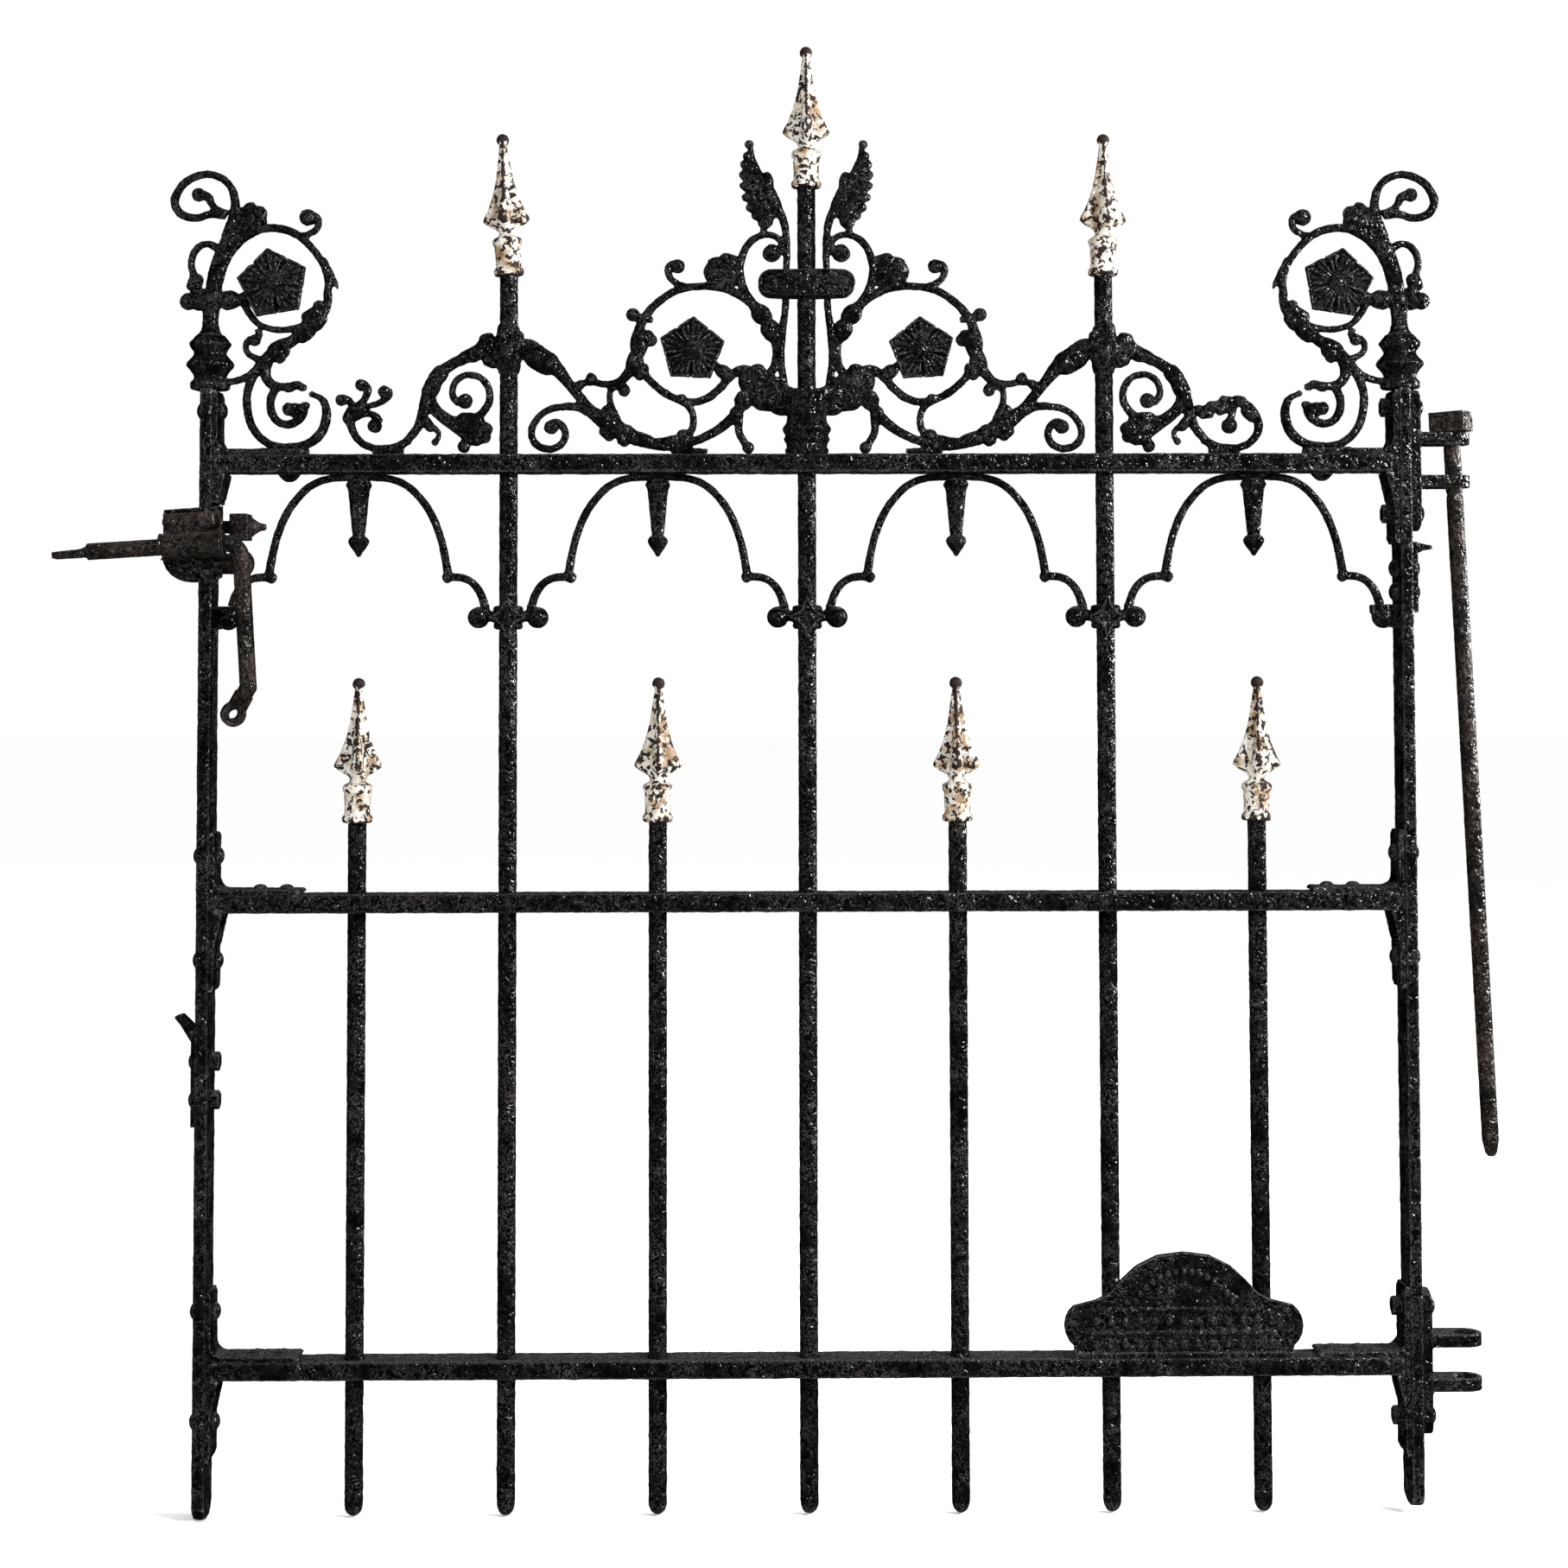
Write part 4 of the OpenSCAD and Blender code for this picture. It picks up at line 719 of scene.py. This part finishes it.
for side, ending, name, node in ((-1, "open", "sideScrollLeft", "side_scroll_left"),
                                 (1, "closed", "sideScrollRight", "side_scroll_right")):
    curls = sideScroll["openCurls"] if ending == "open" else sideScroll["closedCurl"]
    body = makeCasting(
        name,
        sideScroll["inner"] + sideScroll["arm"] + curls,
        sideScroll["innerLobes"] + sideScroll["armLobes"] + sideScroll[ending + "Lobes"],
        sideScroll["innerKnobs"] + sideScroll["armKnobs"] + sideScroll[ending + "Knobs"],
        [turnPiece("leafCollar", sideScroll["collar"], sides=10)],
    )
    turn = Matrix.Identity(4) if side < 0 else Matrix.Scale(-1, 4, (1, 0, 0))
    moveMesh(body, Matrix.Translation((sidePicketX[side], 0, railTop)) @ turn)
    finishPiece(body, node)
print("side scrolls made")

# x is negative to the left of the centre picket, z runs from the top rail's top face
centreScroll = {
    "stems": [
        [(-43, 238, 4.5), (-42, 231, 5), (-39, 222, 6), (-35.5, 214, 8), (-31, 209, 9), (-27, 200, 8),
            (-22, 190, 7.5),
            (-17.5, 180, 6.5), (-15.5, 168, 5.8), (-15.5, 140, 5.6), (-16.5, 112, 5.6), (-19, 92, 6.4),
            (-20, 76, 6.6),
            (-18, 60, 6), (-16, 46, 6)],
        [(-33, 184, 6), (-33, 176, 5.4), (-34, 169, 5.6)],
        [(-19, 165, 5), (-26, 169.5, 5), (-36, 169, 5.4), (-45, 162, 5.8), (-50, 151, 6.2), (-51, 139, 6.4),
            (-48, 127, 7), (-42, 117, 8), (-35, 109, 11), (-29, 99, 10), (-24, 88, 8), (-23, 77, 7),
            (-26, 66, 7),
            (-33, 58, 7.5)],
        [(-19, 163, 5), (-22, 154, 5), (-27, 151, 5), (-31.5, 155, 5), (-29, 160, 4.5)],
        [(-38, 113, 9), (-46, 120, 7.4), (-57, 126, 6.6), (-69, 129.5, 6.2), (-83, 130, 6), (-98, 127.5, 6),
            (-112, 119.5, 6.2), (-123, 108, 6.8), (-129.5, 94, 8), (-130, 79, 8), (-126, 65, 7),
            (-117, 54, 6),
            (-105, 45.5, 6), (-92, 41, 6), (-79, 42.5, 6.4), (-68, 50, 6.6), (-59, 60, 6.8), (-50, 66, 6.8),
            (-43, 64, 7), (-39, 56, 7.5)],
        [(-118, 104, 5), (-126, 105, 4.6), (-132, 108, 5)],
        [(-88, 129, 5.4), (-99, 132, 5.2), (-106, 139, 5.4), (-105.5, 146, 5.4), (-99, 148, 6.5)],
        [(-56, 60, 6.5), (-66, 66, 7), (-76, 72, 8)],
        [(-46, 46, 9), (-53, 34, 9), (-62, 24, 8), (-75, 15.5, 7.2), (-90, 9.5, 7), (-104, 6.5, 7),
            (-118, 8, 7.6),
            (-133, 13.5, 9)],
        [(-97, 42, 6), (-89.5, 36, 5.6), (-87, 27, 5.6), (-89, 18, 6), (-94, 14, 6)],
        [(-52, 28, 6.5), (-52, 17, 6), (-48, 10, 6), (-45, 5, 6)],
        [(-30, 40, 9), (-38, 45, 9), (-46, 50, 10)],
        [(-104, 3, 5), (-90, 3.2, 5), (-76, 3, 4)],
    ],
    "lobes": [
        (-41, 224, -47.5, 234, 7, 4.6), (-38, 215, -50, 227, 8, 4.8), (-34, 208, -51.5, 218, 8.4, 5),
        (-30, 202, -51.5, 209, 8.4, 5.2), (-27, 196, -50, 199.5, 8.4, 5.2),
        (-25, 190, -47, 191.5, 8.4, 5.2),
        (-23, 185, -42.5, 184.5, 8, 5.2), (-31, 188, -45, 226, 16, 3), (-27, 205, -31, 219, 7, 5),
        (-36, 176, -27, 184, 11, 6),
        (-20, 186, -33, 212, 10, 6.4),
        (-50, 139, -77, 143, 24, 3.4), (-52, 146, -76, 149, 10, 4.6), (-50, 140, -78, 142, 8, 4.8),
        (-52, 133, -77, 135, 9, 4.6), (-52, 150, -66, 154, 7, 4.2), (-62, 132, -74, 150, 22, 3.6),
        (-42, 108, -26, 106, 9, 7), (-40, 114, -30, 103, 15, 7), (-34, 104, -22, 98, 8, 6.6),
        (-33, 102, -24, 88, 12, 6.8),
        (-130, 76, -127, 98, 14, 7), (-134, 86, -120, 92, 11, 6.5), (-126, 84, -120, 96, 10, 6),
        (-133, 72, -126, 84, 10, 6.5),
        (-56, 58, -70, 68, 11, 6.5), (-40, 70, -34, 52, 14, 7.4), (-34, 60, -18, 50, 12, 7.6),
        (-50, 62, -40, 44, 13, 7.2),
        (-54, 46, -44, 36, 12, 7), (-43, 42, -12, 44, 19, 8.4), (-27, 50, -5, 45, 12, 8.8),
        (-58, 36, -50, 28, 9, 6), (-16, 50, 0, 36, 9, 4, 9),
        (-92, 44, -100, 42, 8, 5.5), (-128, 10, -134, 15, 11, 6.5),
    ],
    "knobs": [
        (-44, 240, 3.6), (-26.5, 157, 6), (-133.5, 108, 5.4), (-119.5, 88.5, 5), (-99, 145.5, 5.6),
        (-95, 14.5, 5.4),
        (-45, 5.5, 4.8), (-37, 55, 4.6, 4), (-23, 47, 5, 4), (-127, 90, 4, 4), (-33, 179, 4.4, 2),
        (-50, 45, 4, 4),
    ],
}
body = makeCasting("centreScroll", centreScroll["stems"], centreScroll["lobes"], centreScroll["knobs"])
placePair(body, ("centreScrollLeft", "centreScrollRight"), ("centre_scroll_left", "centre_scroll_right"),
          {-1: centreX, 1: centreX}, railTop)
print("centre scrolls made")

# The vase round the centre picket: turned rings with leaves and two volutes
centreVase = {
    "profile": [
        (15, 0), (16.5, 1.5), (16.8, 4), (15.4, 5.5), (16, 9), (17.4, 10.5), (17.8, 12.5), (16.4, 14.2),
        (16.8, 16),
        (18.4, 18), (18.8, 20.5), (17.2, 22.5), (15.6, 25), (15, 30), (15.4, 38), (16.8, 45), (17.4, 48),
        (15, 50), (9, 51),
    ],
    "voxel": 0.8,
    "volute": [(-15, 36, 12), (-22, 37, 13), (-26, 43, 12), (-21, 48, 10), (-13, 48, 9)],
}
vase = turnPiece("centreVase", centreVase["profile"])
volute = sweepStems("volute", [centreVase["volute"], [(-x, z, w) for x, z, w in centreVase["volute"]]])
leaves = addLobes("vaseLeaves", [(0, 22, 0, 56, 13, 3.2, 14.5), (-7, 22, -10, 50, 9, 4, 11.5),
    (7, 22, 10, 50, 9, 4, 11.5)])
backLeaves = copyOf(leaves, "vaseBackLeaves")
moveMesh(backLeaves, Matrix.Scale(-1, 4, (0, 1, 0)))
vase = joinAll([vase, volute, leaves, backLeaves], "centreVase")
castSkin(vase, centreVase["voxel"], 1, ((5, 0.4), (2, 0.25)), 0.7)
moveMesh(vase, Matrix.Translation((centreX, 0, railTop)))
finishPiece(vase, "centre_vase")
print("vase made")

# Rosettes
rosette = {
    "front": -11.5,
    "back": -5.6,
    "petalHalfAngle": 33,
    "shoulder": 0.815,
    "boss": [(6.4, -3.2), (7.4, -1.6), (7, -0.2), (5.4, 0.4), (5, 1.6), (4, 3), (2, 3.9)],
    "places": [(-408.2, 131, 28, -9), (-88, 80, 26, 3), (88, 80, 26, -3),
        (408.2, 131, 28, 9)],  # x, z, radius, turn
}


# Five kite-shaped petals side by side, each with a rim and fanned folds, and a boss in the middle
def makeRosette(radius):
    petals, folds, backing = [], [], []
    for petal in range(5):
        middleWay = 90 + 72 * petal
        shoulder, halfAngle = radius * rosette["shoulder"], rosette["petalHalfAngle"]
        kite = [(1, 0), (shoulder, -halfAngle), (radius, 0), (shoulder, halfAngle)]
        outline = [(r * math.cos(math.radians(middleWay + a)), r * math.sin(math.radians(middleWay + a)))
                   for r, a in kite]
        backing += [(0.97 * x, 0.97 * z) for x, z in outline[1:3]]
        petals.append(cutPlate("rosettePetal", outline, rosette["front"] + 2.4, rosette["back"]))
        for turn, reach, width, depth in ((0, 0.9, 0.12, 2.8), (-14, 0.82, 0.1, 2), (14, 0.82, 0.1, 2),
                                          (-27, 0.74, 0.09, 2.4), (27, 0.74, 0.09, 2.4)):
            a = math.radians(middleWay + turn)
            low, high = radius * 0.24, radius * reach
            folds.append((low * math.cos(a), low * math.sin(a), high * math.cos(a), high * math.sin(a),
                          radius * width, depth, -rosette["front"] - 2.4))
        rim = [(x * 0.95, rosette["front"] + 1.6, z * 0.95, 2) for x, z in outline[1:]]
        petals.append(sweepStems("petalRim", [rim[:2], rim[1:]]))
    boss = turnPiece("rosetteBoss", rosette["boss"], sides=24)
    moveMesh(boss, Matrix.Translation((0, rosette["front"] * mm, 0)) @ Matrix.Rotation(math.pi / 2, 4, "X"))
    petals.append(cutPlate("rosetteBack", backing, rosette["front"] + 4, rosette["back"]))
    body = joinAll([*petals, addLobes("rosetteFolds", folds), boss], "rosette")
    castSkin(body, 0.55, 1, ((5, 0.9), (2, 0.5)), 0.6)
    return body


made = []
for x, z, radius, turn in rosette["places"]:
    made.append(makeRosette(radius))
    place = Matrix.Translation((centreX + x * mm, 0, railTop + z * mm))
    moveMesh(made[-1], place @ Matrix.Rotation(math.radians(turn), 4, "Y"))
finishPiece(joinAll(made, "rosetteSet"), "rosettes")
print("rosettes made")

# Clamp on the centre stems
clamp = {"z": 820, "face": 10.4, "lip": 2.6, "half": 27.4, "rise": 8.6}
lip = [(-clamp["half"], clamp["rise"]), (clamp["half"], clamp["rise"])]
lip += [(clamp["half"] + clamp["rise"] * math.sin(math.radians(a)), clamp["rise"] * math.cos(math.radians(a)))
        for a in range(30, 180, 30)]
lip += [(clamp["half"], -clamp["rise"]), (-clamp["half"], -clamp["rise"])]
lip += [(-clamp["half"] - clamp["rise"] * math.sin(math.radians(a)), -clamp["rise"] * math.cos(math.radians(a)))
        for a in range(30, 211, 30)]
for node, name, face in (("clamp_front", "clampFront", -1), ("clamp_back", "clampBack", 1)):
    edge = sweepStems("clampLip", [[(x, face * clamp["face"], z, clamp["lip"]) for x, z in lip]])
    moveMesh(edge, Matrix.Translation((centreX, 0, clamp["z"] * mm)))
    recast(node, name, 0.7, ((6, 0.4), (2, 0.25)), [edge], 0.6)
print("clamp made")

# Arches under the top rail, with their pendants
arch = {
    "stems": [
        [(-1, -3, 6), (12, -3, 6), (25, -4.5, 6), (36, -9, 6.2), (46, -18, 6.2), (54, -29, 6.2),
            (60, -42, 6.2),
            (64, -55, 6.2), (66.5, -67, 6.5), (68.5, -79, 7)],
        [(66, -80, 7), (74, -79.5, 6.5), (82, -81, 6.2), (89, -86, 6.2), (93.5, -93, 6.5), (96.5, -102, 7)],
    ],
    "lobes": [(-13, -2.5, 13, -2.5, 7, 7.4), (64.5, -82, 71, -78, 8.5, 4.6),
        (-69.5, -78, -63, -82, 8.5, 4.6)],
    "depth": 5.6,
    "gain": 1.5,
    "pendant": [
        (1.2, -64), (3.2, -60.6), (6.2, -56.6), (8, -53.4), (8.2, -51.6), (7, -49.4), (5.1, -48.2),
        (4.8, -47), (5.4, -44),
        (8.2, -14), (9, -11.4), (9.9, -10), (10.1, -8.6), (9.2, -7.2), (9, -6.1), (5, -4),
    ],
}
stems = arch["stems"] + [[(-x, z, w) for x, z, w in stem] for stem in arch["stems"]]
arches = [sweepStems("arch", stems)]
pressDepth(arches[0], arch["depth"], arch["gain"])
arches[0] = joinAll([arches[0], addLobes("archKnuckles", arch["lobes"])], "arch1")
castSkin(arches[0], 0.8, 2, ((6, 0.6), (2.4, 0.4)), 0.6)
pendants = [turnPiece("pendant", arch["pendant"], sides=8, twist=22.5)]
castSkin(pendants[0], 0.6, 1, ((4, 0.4), (1.8, 0.25)), 0.7)
for count in range(2, 5):
    arches.append(copyOf(arches[0], f"arch{count}"))
    pendants.append(copyOf(pendants[0], "pendant"))
for count, (bow, drop) in enumerate(zip(arches, pendants), 1):
    place = Matrix.Translation((middle(f"arch_{count}").x, 0, railUnder))
    moveMesh(bow, place)
    moveMesh(drop, place @ Matrix.Rotation(math.radians(7 * count - 18), 4, "Z"))
    finishPiece(bow, f"arch_{count}")
finishPiece(joinAll(pendants, "archPendants"), "arch_pendants")
print("arches and pendants made")

# Collars on the tall pickets
collar = {
    "z": 563.5,
    "star": [(0, 15), (4.6, 4.8), (13, 0), (4.6, -4.8), (0, -15), (-4.6, -4.8), (-13, 0), (-4.6, 4.8)],
    "front": -11.4,
    "ring": [(9, -9), (10.6, -8.4), (11.4, -6.5), (10.8, -4.4), (11, 4.4), (11.6, 6.5), (10.8, 8.4),
        (9, 9)],
    "knobs": [(-22.6, 0, 8.3), (22.6, 0, 8.3)],
    "arms": [[(8, 0, 9), (15, 1, 8)], [(13, 1, 8), (17, 4, 7.5), (17.8, 9.6, 7.2)]],
}
plate = cutPlate("starPlate", collar["star"], collar["front"] + 0.6, -6)
around = collar["star"] + collar["star"][:1]
rims = []
for (x0, z0), (x1, z1) in zip(around, around[1:]):
    rims.append([(x0, collar["front"], z0, 1.9), ((x0 + x1) / 2 * 0.94, collar["front"], (z0 + z1) / 2 * 0.94, 2.1),
                 (x1, collar["front"], z1, 1.9)])
arms = collar["arms"] + [[(-x, z, w) for x, z, w in arm] for arm in collar["arms"]]
body = joinAll(
    [plate, sweepStems("starRim", rims), sweepStems("collarArms", arms),
     addLobes("collarBalls", (), collar["knobs"]),
     turnPiece("collarRing", collar["ring"], sides=24)], "collar")
castSkin(body, 0.6, 1, ((5, 0.4), (2, 0.25)), 0.6)
for node, name, picket in (("collar_left", "collarLeft", "picket_2"),
                           ("collar_centre", "collarCentre", "picket_4"),
                           ("collar_right", "collarRight", "picket_6")):
    other = copyOf(body, name)
    moveMesh(other, Matrix.Translation((middle(picket).x, 0, collar["z"] * mm)))
    finishPiece(other, node)
choose(body)
bpy.ops.object.delete()
print("collars made")

# Panel on the bottom rail: a raised rim with plain beading
panel = {
    "front": 13,
    "arc": [(44 * math.cos(math.radians(a)), 14 + 50 * math.sin(math.radians(a)),
        2.6) for a in range(26, 155, 8)],
    "rows": [(x, z, 3.1) for z in (10, 27) for x in range(-66, 67, 11)],
    "bars": [[(-70, 18.5, 3), (-20, 18.5, 3.2), (30, 18.5, 3.2), (70, 18.5, 3)], [(-52, 35.5, 2.6),
        (0, 36, 2.8), (52, 35.5, 2.6)]],
    "leaf": [(0, 42, 0, 56, 7, 2.2), (-4, 43, -13, 52, 6, 2), (4, 43, 13, 52, 6, 2)],
}
low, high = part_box("cast_panel")
beads = addLobes("panelBeads", [(*leaf, panel["front"]) for leaf in panel["leaf"]],
                 [(x, z, r, panel["front"]) for x, z, r in panel["arc"] + panel["rows"]])
bars = sweepStems("panelBars", [[(x, -panel["front"], z, w) for x, z, w in bar] for bar in panel["bars"]])
for obj in (beads, bars):
    moveMesh(obj, Matrix.Translation(((low.x + high.x) / 2, 0, low.z)))
recast("cast_panel", "castPanel", 0.7, ((5, 0.3), (2, 0.2)), [beads, bars], 0.6)
print("panel made")

# Latch
latch = {
    "voxel": 0.6,
    "lumps": ((5, 0.3), (1.8, 0.22)),
    "seam": 2.2,
    "sleeveRadius": 9.3,
    "sleeveHalf": 22.6,
    "slope": 3.5,
    "offset": -6.8,  # from the stile's centre
    "y": -31.6,
    "z": 617.5,
}
latchPlace = (Matrix.Translation((stileX[-1] + latch["offset"] * mm, latch["y"] * mm, latch["z"] * mm))
              @ Matrix.Rotation(math.radians(-latch["slope"]), 4, "Y"))
seams = []
for x in (latch["sleeveHalf"], -latch["sleeveHalf"]):
    turns = [math.radians(a) for a in range(-90, 240, 30)]
    seams.append([(x, latch["sleeveRadius"] * math.cos(a), latch["sleeveRadius"] * math.sin(a), latch["seam"])
                  for a in turns])
seam = sweepStems("sleeveEdge", seams)
moveMesh(seam, latchPlace)
recast("latch_strap", "latchStrap", latch["voxel"], latch["lumps"], [seam], 0.7)
recast("latch_bolt", "latchBolt", latch["voxel"], latch["lumps"], (), 0.7)
recast("latch_ring", "latchRing", 0.4, ((3, 0.12), (1.2, 0.08)), (), 0.8)
recast("hinge_pin", "hingePin", latch["voxel"], ((7, 0.5), (2, 0.35)), (), 0.7)
print("latch and hinge pin made")

# Finials
finial = {
    "socket": [
        (8.4, 0), (10.6, 0.3), (11.5, 1.6), (11.6, 4.2), (10.8, 5.6), (9.9, 6.6), (9.7, 9), (9.9, 18),
        (10.2, 22.6),
        (11.2, 24.4), (11.5, 26.8), (10.8, 28.6), (8, 30), (6, 31.6), (5.8, 36), (5.6, 44),
    ],
    "spear": [
        (32.5, 5.6, 5.4), (35.4, 7.6, 6), (37.6, 11, 6.6), (40.4, 15.8, 7.4), (42.2, 17.9, 7.6),
        (43.6, 18.3, 7.8),
        (45.4, 17.6, 7.8), (49, 15.6, 7.4), (54, 13.3, 6.6), (60, 10.9, 5.6), (66, 9, 4.8),
        (75, 6.8, 3.8), (84, 5.4, 3.1),
        (93, 4, 2.6), (101, 3, 2.3),
    ],
    "ridge": 2.4,
    "ball": (105.4, 4.9),
    "turns": [4, -6, 2, 0, -3, 5, -4],
    "lean": [0.4, -2.8, 0.3, 0, -0.5, 0.4, 0.8],
}


# Rings of a four-ridged star section, joined from level to level
def makeSpear(levels, power, around=48):
    rows = []
    for z, tip, valley in levels:
        for k in range(around):
            a = math.tau * k / around
            r = valley + (tip - valley) * abs(math.cos(2 * a)) ** power
            rows.append((r * mm * math.cos(a), r * mm * math.sin(a), z * mm))
    faces = [tuple(reversed(range(around))), tuple(range(len(rows) - around, len(rows)))]
    for level in range(len(levels) - 1):
        for k in range(around):
            near, far = level * around + k, level * around + (k + 1) % around
            faces.append((near, far, far + around, near + around))
    mesh = bpy.data.meshes.new("spear")
    mesh.from_pydata(rows, [], faces)
    obj = bpy.data.objects.new("spear", mesh)
    bpy.context.scene.collection.objects.link(obj)
    return obj


# How far each place is rubbed: the ball's top, the front ridge and the barbs' ends
def markExposed(obj):
    places = np.zeros(len(obj.data.vertices) * 3)
    obj.data.vertices.foreach_get("co", places)
    x, y, z = places.reshape(-1, 3).T / mm
    top = np.clip((z - 102) / 5, 0, 1)
    front = np.clip(1 - abs(x) / 1.6, 0, 1) * (y < 0) * np.clip((z - 38) / 6, 0, 1) * 0.55
    ends = np.clip((np.hypot(x, y) - 15) / 4, 0, 1) * 0.35
    lip = np.clip((2.5 - z) / 2.5, 0, 1) * 0.4
    exposed = obj.data.attributes.new("exposed", "FLOAT", "POINT")
    exposed.data.foreach_set("value", np.maximum.reduce([top, front, ends, lip]))


spearhead = joinAll(
    [makeSpear(finial["spear"], finial["ridge"]), turnPiece("socket", finial["socket"]),
     addLobes("finialBall", (), [(0, finial["ball"][0], finial["ball"][1])])], "finial")
castSkin(spearhead, 0.6, 1, ((5, 0.5), (2, 0.3)), 0.5)
markExposed(spearhead)
for number in range(1, 8):
    other = copyOf(spearhead, f"finial{number}")
    low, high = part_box(f"finial_{number}")
    turn = Matrix.Rotation(math.radians(finial["turns"][number - 1]), 4, "Z")
    lean = Matrix.Rotation(math.radians(finial["lean"][number - 1]), 4, "Y")
    moveMesh(other, Matrix.Translation(((low.x + high.x) / 2, 0, low.z)) @ lean @ turn)
    finishPiece(other, f"finial_{number}")
for spare in (spearhead, *drops.values()):
    choose(spare)
    bpy.ops.object.delete()
print("finials made")
